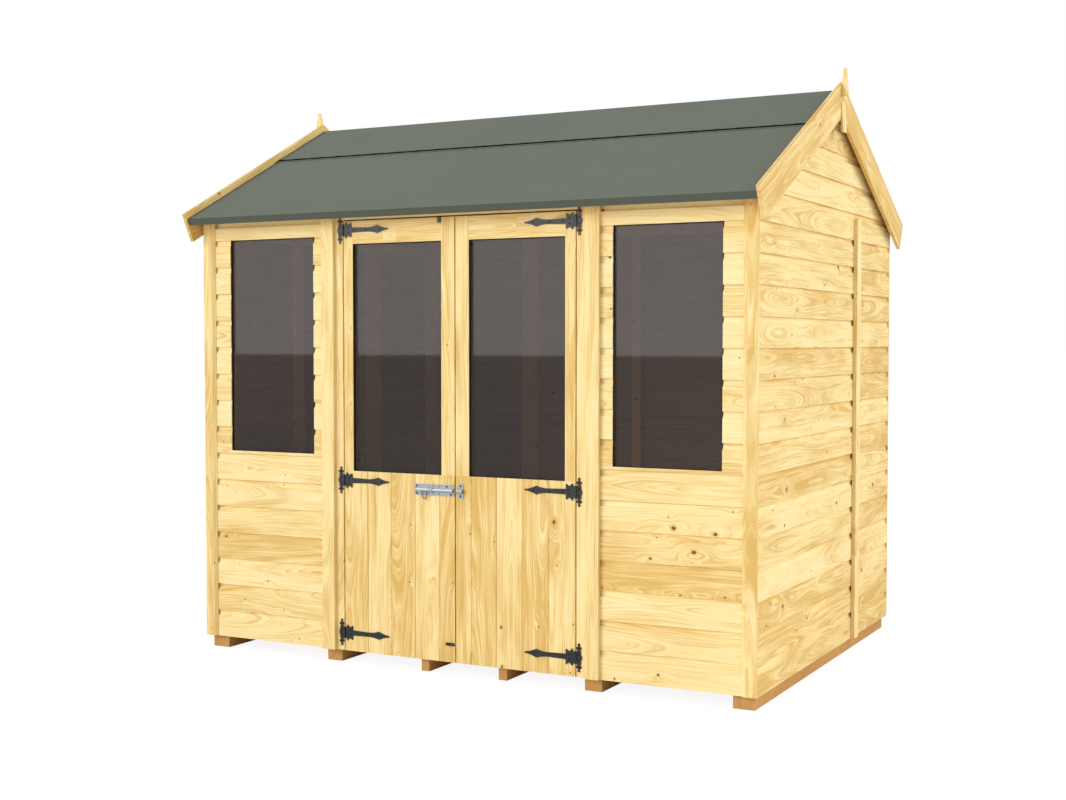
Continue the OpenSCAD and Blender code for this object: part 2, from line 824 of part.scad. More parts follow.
// Guide over the rod in section as (y, z), from the back of the bolt's plate outwards
module guide_outline() {
  difference() {
    union() {
      translate([rod_y, rod_z]) circle(r = guide_r, $fn = 32);
      translate([rod_y, rod_z - guide_r]) square([-half_d - rod_y, 2 * guide_r]);
    }
    translate([rod_y, rod_z]) circle(d = rod_d + 2 * rod_clear, $fn = 32);
  }
}

// Plate with an end stop, a full guide at the leaf's edge, and a staple that hooks over the rod
// and is open below it, where the loop's stems pass
module bolt_plate() {
  x0 = bolt_end - bolt_plate_l;
  staple_mid = bolt_end - staple_x;
  foot_t = 2;
  pass_w = loop_wire + 3;
  color("#c4c6c9") {
    block(x0, bolt_end, bolt_face, -half_d,
      rod_z - bolt_plate_h / 2, rod_z + bolt_plate_h / 2);
    along_x(bolt_end - 4, bolt_end) guide_outline();
    along_x(staple_mid - staple_w / 2, staple_mid + staple_w / 2) {
      difference() {
        guide_outline();
        translate([rod_y - pass_w / 2, rod_z - 2 * guide_r])
          square([bolt_face - rod_y + pass_w / 2, 2 * guide_r]);
      }
      for (z = [rod_z - bolt_plate_h / 2, rod_z + guide_r])
        translate([bolt_face - foot_t, z])
          square([foot_t + bolt_plate_t, bolt_plate_h / 2 - guide_r]);
    }
    block(x0 + 4, x0 + 8 - fit, rod_y - guide_r / 2, -half_d,
      rod_z - rod_d / 2 - 1, rod_z + rod_d / 2 + 1);
  }
}

// The rod drawn back, with its end level with the plate, and its hanging loop
module bolt_rod() {
  stem = loop_drop - loop_r - loop_wire / 2;
  color("#d4d6d8") {
    translate([bolt_end - rod_length, rod_y, rod_z]) rotate([0, 90, 0])
      cylinder(d = rod_d, h = rod_length, $fn = 32);
    translate([bolt_end - staple_x - loop_x, rod_y, rod_z]) {
      for (m = [-1, 1])
        translate([m * loop_r, 0, -stem]) cylinder(d = loop_wire, h = stem, $fn = 24);
      translate([0, 0, -stem]) rotate([-90, 0, 0])
        rotate_extrude(angle = 180, $fn = 48) translate([loop_r, 0])
          circle(d = loop_wire, $fn = 24);
    }
  }
}

// Bridge for the rod on the right leaf, bent from one strip, with a foot above and below
module bolt_keeper() {
  x0 = door_gap / 2 + keeper_inset;
  bore_r = rod_d / 2 + 1.2;
  bridge_r = bore_r + bolt_plate_t;
  color("#c4c6c9") along_x(x0, x0 + keeper_w) translate([0, rod_z]) difference() {
    union() {
      translate([bolt_face, -keeper_h / 2]) square([bolt_plate_t, keeper_h]);
      translate([rod_y, 0]) circle(r = bridge_r, $fn = 32);
      translate([rod_y, -bridge_r]) square([-half_d - rod_y, 2 * bridge_r]);
    }
    translate([rod_y, 0]) circle(r = bore_r, $fn = 32);
    translate([rod_y, -bore_r]) square([-half_d - rod_y + 1, 2 * bore_r]);
  }
}

// Small black catches on the left leaf, near its top and near its foot
module door_catches() {
  edge = -door_gap / 2;
  low_z = base_z + low_catch_z;
  color("#26282b") {
    block(edge - top_catch_x - top_catch_w, edge - top_catch_x, -half_d - catch_t, -half_d,
      leaf_top - top_catch_h, leaf_top);
    block(edge - low_catch_x - low_catch_w, edge - low_catch_x, -half_d - catch_t, -half_d,
      low_z, low_z + low_catch_h);
  }
}

// ---------------------------------------------------------------- assembly

bearers();
floor_boards();
front_left_wall();
front_right_wall();
front_frames();
left_window_glass();
right_window_glass();
door_posts();
door_head();
door_cover_strips();
left_gable_wall();
right_gable_wall();
left_gable_frame();
right_gable_frame();
back_wall();
back_frame();
panel_cover_strips();
front_corner_strips();
back_corner_strips();
front_roof_boards();
back_roof_boards();
roof_purlins();
eaves_battens();
front_felt();
back_felt();
ridge_felt();
front_left_barge();
back_left_barge();
front_right_barge();
back_right_barge();
left_finial();
right_finial();
post_hinge_plates();
left_door_frame();
left_door_boards();
left_door_glass();
left_door_hinges();
bolt_plate();
door_catches();
bolt_rod();
right_door_frame();
right_door_boards();
right_door_glass();
right_door_hinges();
bolt_keeper();
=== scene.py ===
"""Looks of a timber summerhouse: its timber, felt, glazing and ironmongery, and a plain studio."""

import math

import bmesh
import bpy
from bpy.props import FloatProperty, FloatVectorProperty, PointerProperty
from mathutils import Matrix, Vector


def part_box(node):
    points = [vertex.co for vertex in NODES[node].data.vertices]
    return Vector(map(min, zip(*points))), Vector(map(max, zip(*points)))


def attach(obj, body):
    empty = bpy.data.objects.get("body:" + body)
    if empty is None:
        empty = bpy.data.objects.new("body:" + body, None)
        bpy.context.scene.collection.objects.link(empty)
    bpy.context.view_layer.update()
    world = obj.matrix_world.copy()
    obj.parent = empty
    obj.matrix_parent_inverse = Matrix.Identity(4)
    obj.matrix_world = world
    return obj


bl_info = {
    "name": "Apex Summerhouse",
    "version": (1, 0, 0),
    "blender": (4, 5, 0),
    "location": "View3D > Sidebar > Summerhouse",
    "description": "Finishes the summerhouse's timber, felt, glass and fittings",
    "category": "Object",
}

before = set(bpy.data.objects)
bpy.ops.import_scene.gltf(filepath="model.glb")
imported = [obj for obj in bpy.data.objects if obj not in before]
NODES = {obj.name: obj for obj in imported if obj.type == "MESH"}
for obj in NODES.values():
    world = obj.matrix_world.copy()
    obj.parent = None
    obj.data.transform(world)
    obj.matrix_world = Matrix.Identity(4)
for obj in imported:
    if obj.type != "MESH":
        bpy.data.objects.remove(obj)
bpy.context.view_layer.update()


# -------------------- sizes and places, in metres


def low(node):
    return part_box(node)[0]


def high(node):
    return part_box(node)[1]


X, Y, Z = (1.0, 0.0, 0.0), (0.0, 1.0, 0.0), (0.0, 0.0, 1.0)

# Walls: a course is the height that one board covers
COURSE = 0.109
COURSES_TO_HEADS = 15
CLAD_T = 0.014
WALL_BOTTOM = low("front_right_wall").z
WINDOW_HEADS = WALL_BOTTOM + COURSES_TO_HEADS * COURSE
FRONT_FACE = low("front_right_wall").y
GABLE_FACE = high("right_gable_wall").x
GABLE_JOINT = FRONT_FACE + 1.194
BACK_JOINT = high("door_posts").x

# Doors
MATCHBOARD = 0.109
MATCHBOARD_EDGE = high("right_door_boards").x % MATCHBOARD
MEETING_STILE = 0.058
HINGE_STILE = 0.042
RAIL_START = low("right_door_frame").x + MEETING_STILE
RAIL_END = high("right_door_frame").x - HINGE_STILE
GLASS_LAP = 0.0077
RAIL_BOTTOM = high("right_door_glass").z - GLASS_LAP

# Screws of the hinges: those of a strap as (distance from the pin, height), and those of a post
# plate by their height
PIN_X = high("right_door_hinges").x - 0.005
HINGE_HALF = 0.0315
PANEL_TO_HINGE = 0.038
STRAP_FACE = FRONT_FACE - 0.003
STRAP_SCREWS = ((0.026, 0.009), (0.026, -0.009), (0.0525, 0.0), (0.1065, 0.0), (0.1735, 0.0))
POST_SCREW_OUT = 0.0135
POST_SCREWS = (-0.0345, -0.0115, 0.0115, 0.0345)

# Fixings of the bolt, as (distance from the plate's right end, height from the rod)
ROD_Z = (low("bolt_plate").z + high("bolt_plate").z) / 2
ROD_UNDERSIDE = ROD_Z - 0.0052
BOLT_FACE = FRONT_FACE - 0.0025
STAPLE_FACE = BOLT_FACE - 0.002
BOLT_SCREWS = ((0.1646, 0.014), (0.1646, -0.015), (0.031, 0.0145), (0.0126, -0.015))
HOLE_RADIUS = 0.0032
BOLT_HOLES = ((0.0647, 0.0144), (0.0647, -0.0144))
RIVET_RADIUS = 0.0024
STAPLE_RIVETS = ((0.107, 0.0165), (0.107, -0.0165), (0.097, 0.0165), (0.097, -0.0165))
KEEPER_SCREW_IN = 0.0095

# Roof: a felt stands a step above the one that it laps
ROOF_PITCH = math.radians(26.35)
DOWN_ROOF = (0.0, math.cos(ROOF_PITCH), -math.sin(ROOF_PITCH))
ROOF_END = high("front_roof_boards").x
EAVES_Y = -low("front_felt").y
FELT_STEP = 0.00305
FELT_TOP = high("ridge_felt").z - FELT_STEP / math.cos(ROOF_PITCH)
FELT_FOLD = (EAVES_Y * math.cos(ROOF_PITCH)
             - (FELT_TOP - EAVES_Y * math.tan(ROOF_PITCH)) * math.sin(ROOF_PITCH))
LAP_DOWN = 0.398
LAP_END = ROOF_END - 0.004
BARGE_PITCH = math.radians(26.7)
DOWN_BARGE = (0.0, math.cos(BARGE_PITCH), -math.sin(BARGE_PITCH))
ACROSS_BARGE = (0.0, math.sin(BARGE_PITCH), math.cos(BARGE_PITCH))
BARGE_HALF = 0.060
BARGE_MIDDLE = high("front_right_barge").z * math.cos(BARGE_PITCH) - BARGE_HALF
BARGE_LINE_X = ROOF_END + 0.0095

# Studio
FLOOR_HALF = 118.0
CAMERA_PLACE = (2.8615, -5.6779, 1.2702)
CAMERA_DOWN = math.radians(2.245)
CAMERA_LEFT = math.radians(27.732)
CAMERA_LENS = 50.0
CAMERA_SENSOR = 36.0


# -------------------- tones of the boards

# From 0, pale, to 1, dark: a wall's boards from the bottom up, and a leaf's boards from the
# middle of the doorway outwards
FRONT_TONES = (0.38, 0.53, 0.33, 0.73, 0.50, 0.41, 0.43, 0.59, 0.18, 0.33, 0.16, 0.27, 0.42, 0.21,
               0.45, 0.30)
GABLE_TONES = (0.54, 0.71, 0.79, 0.35, 0.50, 0.34, 0.71, 0.51, 0.54, 0.52, 0.58, 0.40, 0.51, 0.47,
               0.58, 0.59, 0.36, 0.43, 0.61, 0.45)
GABLE_REAR_TONES = (0.79, 0.77, 0.53, 0.47, 0.67, 0.44, 0.48, 0.71, 0.48, 0.79, 0.78, 0.51, 0.72,
                    0.77, 0.67, 0.55, 0.40, 0.30, 0.50, 0.45)
RIGHT_LEAF_TONES = (0.78, 0.77, 0.53, 0.71, 0.58)
LEFT_LEAF_TONES = (0.75, 0.45, 0.74, 0.47, 0.60)


# -------------------- colour and nodes


def rgb(code):
    """An sRGB hex value as linear red, green and blue, with an alpha of 1."""
    parts = [int(code[i : i + 2], 16) / 255 for i in (1, 3, 5)]
    return [c / 12.92 if c <= 0.04045 else ((c + 0.055) / 1.055) ** 2.4 for c in parts] + [1.0]


def add(tree, kind, inputs=None, output=0, **settings):
    """Adds a node with its settings and inputs; returns one output socket, or the node itself."""
    node = tree.nodes.new("ShaderNode" + kind)
    for name, value in settings.items():
        setattr(node, name, value)
    for key, value in (inputs or {}).items():
        if isinstance(value, bpy.types.NodeSocket):
            tree.links.new(value, node.inputs[key])
        else:
            node.inputs[key].default_value = value
    return node if output is None else node.outputs[output]


def new_material(name):
    """An empty node material and its tree."""
    mat = bpy.data.materials.new(name)
    mat.use_nodes = True
    mat.node_tree.nodes.clear()
    return mat, mat.node_tree


def finish_material(mat, shader):
    add(mat.node_tree, "OutputMaterial", {"Surface": shader}, None)
    return mat


def object_coords(tree):
    return add(tree, "TexCoord", output=3)


def dress(material, *names):
    """Gives solids of the frame a material."""
    for name in names:
        NODES[name].data.materials.clear()
        NODES[name].data.materials.append(material)


# -------------------- figure of softwood


def board_chances(tree, board):
    """Six random numbers from 0 to 1 for each board."""
    chances = []
    for number in (board, add(tree, "Math", {0: board, 1: 0.37}, operation="ADD")):
        noise = add(tree, "TexWhiteNoise", {"W": number}, 1, noise_dimensions="1D")
        chances += list(add(tree, "SeparateColor", {0: noise}, None).outputs)
    return chances


def knot_figure(tree, flat, share):
    """Knots, with places for them about 0.16 m apart, of which share have one.

    Most are 5 to 8 mm across. Returns the core of a knot, the halo round it, how far a point lies
    within the swirl of the rings that pass it, and how far these bend.
    """
    wander = add(tree, "TexNoise", {"Vector": flat, "Scale": 110.0, "Detail": 2.0}, 1)
    wobble = add(tree, "VectorMath", {0: wander, 1: (0.5, 0.5, 0.5)}, operation="SUBTRACT")
    nudged = add(tree, "VectorMath", {0: wobble, 1: (0.007, 0.005, 0.0), 2: flat},
                 operation="MULTIPLY_ADD")
    cells = add(tree, "TexVoronoi", {"Vector": nudged, "Scale": 6.2}, None,
                voronoi_dimensions="2D")
    cell = add(tree, "SeparateColor", {0: cells.outputs["Color"]}, None).outputs
    present = add(tree, "Math", {0: cell[0], 1: share}, operation="LESS_THAN")
    big = add(tree, "Math", {0: cell[1], 1: 4.0}, operation="POWER")
    radius = add(tree, "Math", {0: big, 1: 0.0055, 2: 0.0024}, operation="MULTIPLY_ADD")
    gap = add(tree, "VectorMath", {0: nudged, 1: cells.outputs["Position"]}, operation="SUBTRACT")

    # the core and the halo are nearly round, and are measured in the knot's own radius
    oval = add(tree, "VectorMath", {0: gap, 1: (0.8, 1.0, 0.0)}, operation="MULTIPLY")
    metres = add(tree, "VectorMath", {0: oval}, 1, operation="LENGTH")
    ratio = add(tree, "Math", {0: metres, 1: radius}, operation="DIVIDE")
    core = add(tree, "MapRange", {0: ratio, 1: 1.2, 2: 0.7, 3: 0.0, 4: 1.0},
               interpolation_type="SMOOTHSTEP")
    core = add(tree, "Math", {0: core, 1: present}, operation="MULTIPLY")
    halo = add(tree, "MapRange", {0: ratio, 1: 2.6, 2: 1.0, 3: 0.0, 4: 1.0},
               interpolation_type="SMOOTHSTEP")
    halo = add(tree, "Math", {0: halo, 1: present}, operation="MULTIPLY")

    # the swirl is drawn out along the grain
    drawn = add(tree, "VectorMath", {0: gap, 1: (0.36, 1.0, 0.0)}, operation="MULTIPLY")
    drawn = add(tree, "VectorMath", {0: drawn}, 1, operation="LENGTH")
    reach = add(tree, "Math", {0: radius, 1: 5.0, 2: 0.010}, operation="MULTIPLY_ADD")
    swirl = add(tree, "MapRange", {0: drawn, 1: reach, 2: 0.0, 3: 0.0, 4: 1.0},
                interpolation_type="SMOOTHERSTEP")
    swirl = add(tree, "Math", {0: swirl, 1: present}, operation="MULTIPLY")
    bend = add(tree, "Math", {0: radius, 1: 4.0}, operation="MULTIPLY")
    return core, halo, swirl, bend


def ring_figure(tree, along, flat, board, offset, chances, swirl, bend):
    """Growth rings, 6 to 10 mm apart, coarser than real so that they show.

    The face is cut near the heart of the log, and its depth drifts along the board, so that the
    rings draw out into arches. Returns the distance from the heart, and the late and early wood.
    """
    slow = add(tree, "CombineXYZ", {0: along, 1: board})
    slow = add(tree, "TexNoise", {"Vector": slow, "Scale": 0.8, "Detail": 1.0})
    depth = add(tree, "MapRange", {0: slow, 1: 0.25, 2: 0.75, 3: -0.05, 4: 0.08}, clamp=False)
    depth = add(tree, "Math", {0: chances[1], 1: 0.03, 2: depth}, operation="MULTIPLY_ADD")
    side = add(tree, "MapRange", {0: chances[0], 1: 0.0, 2: 1.0, 3: -0.06, 4: 0.06})
    side = add(tree, "Math", {0: side, 1: offset}, operation="ADD")
    from_heart = add(tree, "CombineXYZ", {0: depth, 1: side, 2: 0.006})
    from_heart = add(tree, "VectorMath", {0: from_heart}, 1, operation="LENGTH")
    warp = add(tree, "VectorMath", {0: flat, 1: (1.3, 8.0, 1.0)}, operation="MULTIPLY")
    warp = add(tree, "TexNoise", {"Vector": warp, "Scale": 1.0, "Detail": 3.0, "Roughness": 0.42})
    ring = add(tree, "Math", {0: warp, 1: 0.060, 2: from_heart}, operation="MULTIPLY_ADD")
    ring = add(tree, "Math", {0: swirl, 1: bend, 2: ring}, operation="MULTIPLY_ADD")

    # through a ring the wood darkens slowly, ends sharply, and starts pale in the next
    per_metre = add(tree, "MapRange", {0: chances[2], 1: 0.0, 2: 1.0, 3: 105.0, 4: 180.0})
    phase = add(tree, "Math", {0: ring, 1: per_metre}, operation="MULTIPLY")
    phase = add(tree, "Math", {0: phase}, operation="FRACT")
    rise = add(tree, "Math", {0: phase, 1: 3.6}, operation="POWER")
    fall = add(tree, "MapRange", {0: phase, 1: 1.0, 2: 0.88, 3: 0.0, 4: 1.0})
    late = add(tree, "Math", {0: rise, 1: fall}, operation="MULTIPLY")
    early = add(tree, "MapRange", {0: phase, 1: 0.22, 2: 0.0, 3: 0.0, 4: 1.0})
    return ring, late, early


def timber_group():
    """Planed softwood: growth rings cut through along a board, fine fibres, and knots.

    Along and Across are metres on the board, Offset is metres from its middle, and Board is a
    number that differs from one board to the next, so that no two boards share their figure.
    """
    tree = bpy.data.node_groups.new("Planed softwood figure", "ShaderNodeTree")
    for way, kind, names in (
            ("INPUT", "Float",
             ("Along", "Across", "Offset", "Board", "Knots", "Contrast", "Tone")),
            ("INPUT", "Color", ("Light", "Mid", "Dark", "Knot")),
            ("OUTPUT", "Color", ("Color",)),
            ("OUTPUT", "Float", ("Roughness", "Height"))):
        for name in names:
            tree.interface.new_socket(name, in_out=way, socket_type="NodeSocket" + kind)
    given = tree.nodes.new("NodeGroupInput").outputs

    # each board is cut from a place of its own in the pattern
    chances = board_chances(tree, given["Board"])
    along = add(tree, "Math", {0: chances[0], 1: 41.0, 2: given["Along"]},
                operation="MULTIPLY_ADD")
    across = add(tree, "Math", {0: chances[1], 1: 17.0, 2: given["Across"]},
                 operation="MULTIPLY_ADD")
    flat = add(tree, "CombineXYZ", {0: along, 1: across})
    core, halo, swirl, bend = knot_figure(tree, flat, given["Knots"])
    ring, late, early = ring_figure(tree, along, flat, given["Board"], given["Offset"],
                                    chances[3:], swirl, bend)

    # tone from 0, pale, to 1, dark: the rings are strong in some places and faint in others
    figure = add(tree, "TexNoise", {"Vector": flat, "Scale": 4.0, "Detail": 1.0})
    figure = add(tree, "MapRange", {0: figure, 1: 0.35, 2: 0.6, 3: 0.35, 4: 1.0})
    tone = add(tree, "Math", {0: chances[2], 1: 0.12, 2: given["Tone"]}, operation="MULTIPLY_ADD")
    shown = add(tree, "Math", {0: figure, 1: given["Contrast"]}, operation="MULTIPLY")
    tone = add(tree, "Math", {0: late, 1: shown, 2: tone}, operation="MULTIPLY_ADD")
    pale = add(tree, "Math", {0: shown, 1: -0.3}, operation="MULTIPLY")
    tone = add(tree, "Math", {0: early, 1: pale, 2: tone}, operation="MULTIPLY_ADD")

    # streaks 13 mm wide and fibres 3 mm wide follow the rings, and stains 80 mm wide don't; all
    # are coarser than real ones so that they show
    flow = add(tree, "CombineXYZ", {0: along, 1: ring, 2: given["Board"]})
    noises = []
    for source, per_metre, strength in ((flow, (2.5, 75.0, 1.0), 0.20),
                                        (flow, (7.0, 330.0, 1.0), 0.19),
                                        (flat, (3.0, 12.0, 1.0), 0.16)):
        noise = add(tree, "VectorMath", {0: source, 1: per_metre}, operation="MULTIPLY")
        noise = add(tree, "TexNoise", {"Vector": noise, "Scale": 1.0, "Detail": 2.0})
        part = add(tree, "MapRange", {0: noise, 1: 0.3, 2: 0.7, 3: -strength, 4: strength})
        tone = add(tree, "Math", {0: tone, 1: part}, operation="ADD")
        noises.append(noise)
    tone = add(tree, "Math", {0: halo, 1: 0.25, 2: tone}, operation="MULTIPLY_ADD")

    to_mid = add(tree, "MapRange", {0: tone, 1: -0.25, 2: 0.5, 3: 0.0, 4: 1.0})
    to_dark = add(tree, "MapRange", {0: tone, 1: 0.5, 2: 1.0, 3: 0.0, 4: 1.0})
    colour = given["Light"]
    for share, name in ((to_mid, "Mid"), (to_dark, "Dark"), (core, "Knot")):
        colour = add(tree, "Mix", {0: share, 6: colour, 7: given[name]}, 2, data_type="RGBA")
    rough = add(tree, "MapRange", {0: late, 1: 0.0, 2: 1.0, 3: 0.62, 4: 0.5})
    height = add(tree, "Math", {0: late, 1: 0.6, 2: noises[1]}, operation="MULTIPLY_ADD")
    results = tree.nodes.new("NodeGroupOutput").inputs
    for name, value in (("Color", colour), ("Roughness", rough), ("Height", height)):
        tree.links.new(value, results[name])
    return tree


# -------------------- timber materials


def board_tone(tree, place, first, tones):
    """A board's tone by its count, place, from a table that starts with board number first."""
    share = add(tree, "Math", {0: place}, operation="FLOOR")
    share = add(tree, "Math", {0: share, 1: 0.5 - first}, operation="ADD")
    share = add(tree, "Math", {0: share, 1: len(tones)}, operation="DIVIDE")
    table = add(tree, "ValToRGB", {0: share}, None)
    ramp = table.color_ramp
    ramp.interpolation = "CONSTANT"
    while len(ramp.elements) < len(tones):
        ramp.elements.new(1.0)
    # the ramp's levels, 0 to 1, stand for tones from -0.5 to 1.5
    for k, tone in enumerate(tones):
        level = (tone + 0.5) / 2
        ramp.elements[k].position = k / len(tones)
        ramp.elements[k].color = (level, level, level, 1.0)
    return add(tree, "MapRange", {0: table.outputs[0], 1: 0.0, 2: 1.0, 3: -0.5, 4: 1.5})


def picked_tone(tree, place, coords, first, tones, cut=None, tones_past=None):
    """A board's tone from tones or, past a cut, given as (direction, place), from tones_past."""
    tone = board_tone(tree, place, first, tones)
    if cut is None:
        return tone
    other = board_tone(tree, place, first, tones_past)
    past = add(tree, "VectorMath", {0: coords, 1: cut[0]}, 1, operation="DOT_PRODUCT")
    past = add(tree, "Math", {0: past, 1: cut[1]}, operation="GREATER_THAN")
    return add(tree, "Mix", {0: past, 2: tone, 3: other})


def turn_rail(tree, coords, rail, length, width, offset, board):
    """Turns the grain of a frame where a rail lies across it, and gives the stiles on either side
    of the rail, and the frames on either side of the doorway, board numbers of their own."""
    start, end, bottom = rail
    x = add(tree, "VectorMath", {0: coords, 1: X}, 1, operation="DOT_PRODUCT")
    z = add(tree, "VectorMath", {0: coords, 1: Z}, 1, operation="DOT_PRODUCT")
    side = add(tree, "Math", {0: x}, operation="ABSOLUTE")
    started = add(tree, "Math", {0: side, 1: start}, operation="GREATER_THAN")
    unended = add(tree, "Math", {0: side, 1: end}, operation="LESS_THAN")
    above = add(tree, "Math", {0: z, 1: bottom}, operation="GREATER_THAN")
    on_rail = add(tree, "Math", {0: started, 1: unended}, operation="MULTIPLY")
    on_rail = add(tree, "Math", {0: on_rail, 1: above}, operation="MULTIPLY")
    length = add(tree, "Mix", {0: on_rail, 2: length, 3: x})
    width = add(tree, "Mix", {0: on_rail, 2: width, 3: z})
    from_rail = add(tree, "Math", {0: z, 1: bottom + 0.02}, operation="SUBTRACT")
    offset = add(tree, "Mix", {0: on_rail, 2: offset, 3: from_rail})
    outer = add(tree, "Math", {0: side, 1: (start + end) / 2}, operation="GREATER_THAN")
    right = add(tree, "Math", {0: x, 1: 0.0}, operation="GREATER_THAN")
    for part, number in ((on_rail, 7.0), (outer, 3.0), (right, 11.0)):
        board = add(tree, "Math", {0: part, 1: number, 2: board}, operation="MULTIPLY_ADD")
    return length, width, offset, board


def timber(name, along, across, step, start=0.0, joints=(), rail=None, middle=None, fold=False,
           knots=0.55, contrast=0.46, tone=0.25, seed=0.0, finish="planed", inner=None,
           picked=None, line=None):
    """Softwood boards: pale and silky, with darker rings, fine fibres and brown knots.

    along and across are directions. step is the direction in which boards change divided by their
    width, and start is their count at the origin. joints are cuts as (direction, place). rail is
    the part of a frame that lies across it, as (start, end, bottom). middle is the place of a
    single board's middle. fold mirrors the directions on the planes of the axes. seed is added to
    the boards' numbers. finish is planed, sawn or treated. inner is where the rough inner face
    starts, as (direction, place). picked is what picked_tone takes, from first on. line is the
    machined line along the top edge of a single board, as (height of the edge, x of the line).
    """
    mat, tree = new_material(name)
    group = bpy.data.node_groups.get("Planed softwood figure") or timber_group()
    plain = object_coords(tree)
    coords = add(tree, "VectorMath", {0: plain}, operation="ABSOLUTE") if fold else plain
    length = add(tree, "VectorMath", {0: coords, 1: along}, 1, operation="DOT_PRODUCT")
    width = add(tree, "VectorMath", {0: coords, 1: across}, 1, operation="DOT_PRODUCT")
    place = add(tree, "VectorMath", {0: coords, 1: step}, 1, operation="DOT_PRODUCT")
    place = add(tree, "Math", {0: place, 1: start}, operation="SUBTRACT")
    board = add(tree, "Math", {0: place}, operation="FLOOR")
    board = add(tree, "Math", {0: board, 1: seed + 0.5}, operation="ADD")
    if middle is None:
        board_width = 1.0 / Vector(step).length
        offset = add(tree, "Math", {0: place}, operation="FRACT")
        offset = add(tree, "Math", {0: offset, 1: 0.5}, operation="SUBTRACT")
        offset = add(tree, "Math", {0: offset, 1: board_width}, operation="MULTIPLY")
    else:
        offset = add(tree, "Math", {0: width, 1: middle}, operation="SUBTRACT")
    for k, (direction, spot) in enumerate(joints):
        past = add(tree, "VectorMath", {0: plain, 1: direction}, 1, operation="DOT_PRODUCT")
        past = add(tree, "Math", {0: past, 1: spot}, operation="GREATER_THAN")
        board = add(tree, "Math", {0: past, 1: 40.0 * (k + 1), 2: board},
                    operation="MULTIPLY_ADD")
    if rail:
        length, width, offset, board = turn_rail(
            tree, coords, rail, length, width, offset, board)

    settings = bpy.context.scene.summerhouse_timber
    look = add(tree, "Group", {}, None, node_tree=group)
    for key, value in {"Along": length, "Across": width, "Offset": offset, "Board": board}.items():
        tree.links.new(value, look.inputs[key])
    for key, value in {"Knots": knots, "Contrast": contrast, "Tone": tone}.items():
        look.inputs[key].default_value = value
    if picked:
        tree.links.new(picked_tone(tree, place, plain, *picked), look.inputs["Tone"])
    for key in ("Light", "Mid", "Dark", "Knot"):
        look.inputs[key].default_value = getattr(settings, f"{finish}_{key.lower()}")
    colour = look.outputs["Color"]

    if inner:
        # rough-sawn inner faces, greyer and darker than the planed ones, with the same figure
        level = add(tree, "VectorMath", {0: plain, 1: inner[0]}, 1, operation="DOT_PRODUCT")
        level = add(tree, "Math", {0: level}, operation="ABSOLUTE")
        rough_face = add(tree, "Math", {0: level, 1: inner[1]}, operation="LESS_THAN")
        colour = add(tree, "Mix", {0: rough_face, 6: colour, 7: settings.inner_shade}, 2,
                     data_type="RGBA", blend_type="MULTIPLY")
    if line:
        x = add(tree, "VectorMath", {0: coords, 1: X}, 1, operation="DOT_PRODUCT")
        near = add(tree, "Math", {0: x, 1: line[1], 2: 0.0013}, operation="COMPARE")
        top = add(tree, "Math", {0: width, 1: line[0] - 0.0006}, operation="GREATER_THAN")
        near = add(tree, "Math", {0: near, 1: top}, operation="MULTIPLY")
        colour = add(tree, "Mix", {0: near, 6: colour, 7: rgb("#c07a22")}, 2, data_type="RGBA")
    bump = add(tree, "Bump", {
        "Strength": 0.25, "Distance": 0.0006, "Height": look.outputs["Height"]})
    shader = add(tree, "BsdfPrincipled", {
        "Base Color": colour, "Roughness": look.outputs["Roughness"],
        "Specular IOR Level": 0.25, "Normal": bump})
    return finish_material(mat, shader)


# -------------------- other materials


def mineral_felt(settings):
    """Bituminous felt with a grey-green mineral face: dull, with 2 mm grit, and painted shade at
    its edges.
    """
    mat, tree = new_material("Mineral felt")
    coords = object_coords(tree)
    grit = add(tree, "TexNoise", {"Vector": coords, "Scale": 420.0, "Detail": 2.0})
    spread = add(tree, "MapRange", {0: grit, 1: 0.3, 2: 0.7, 3: 0.0, 4: 1.0})
    colour = add(tree, "Mix", {0: spread, 6: settings.felt_dark, 7: settings.felt_pale}, 2,
                 data_type="RGBA")
    drift = add(tree, "TexNoise", {"Vector": coords, "Scale": 2.2, "Detail": 3.0})
    drift = add(tree, "MapRange", {0: drift, 1: 0.3, 2: 0.7, 3: 0.0, 4: 0.25})
    x = add(tree, "VectorMath", {0: coords, 1: X}, 1, operation="DOT_PRODUCT")
    x = add(tree, "Math", {0: x}, operation="ABSOLUTE")
    # painted shade: a dark bluish band on the felt next to the barges at the gables
    edge = add(tree, "MapRange", {0: x, 1: ROOF_END - 0.009, 2: ROOF_END - 0.004, 3: 0.0, 4: 0.85})
    # painted shade: the part turned down at the eaves is darker than the slope
    folded = add(tree, "VectorMath", {0: coords}, operation="ABSOLUTE")
    down = add(tree, "VectorMath", {0: folded, 1: DOWN_ROOF}, 1, operation="DOT_PRODUCT")
    turned = add(tree, "Math", {0: down, 1: FELT_FOLD - 0.0015}, operation="GREATER_THAN")
    # slow changes of tone, painted shade where the felt meets the barges, and painted shade on the
    # part turned down at the eaves
    for share, code in ((drift, "#656c62"), (edge, "#3d4650"), (turned, "#5a5f54")):
        colour = add(tree, "Mix", {0: share, 6: colour, 7: rgb(code)}, 2, data_type="RGBA")
    bump = add(tree, "Bump", {"Strength": 0.5, "Distance": 0.0008, "Height": grit})
    shader = add(tree, "BsdfPrincipled", {
        "Base Color": colour, "Roughness": 0.92, "Specular IOR Level": 0.2, "Normal": bump})
    return finish_material(mat, shader)


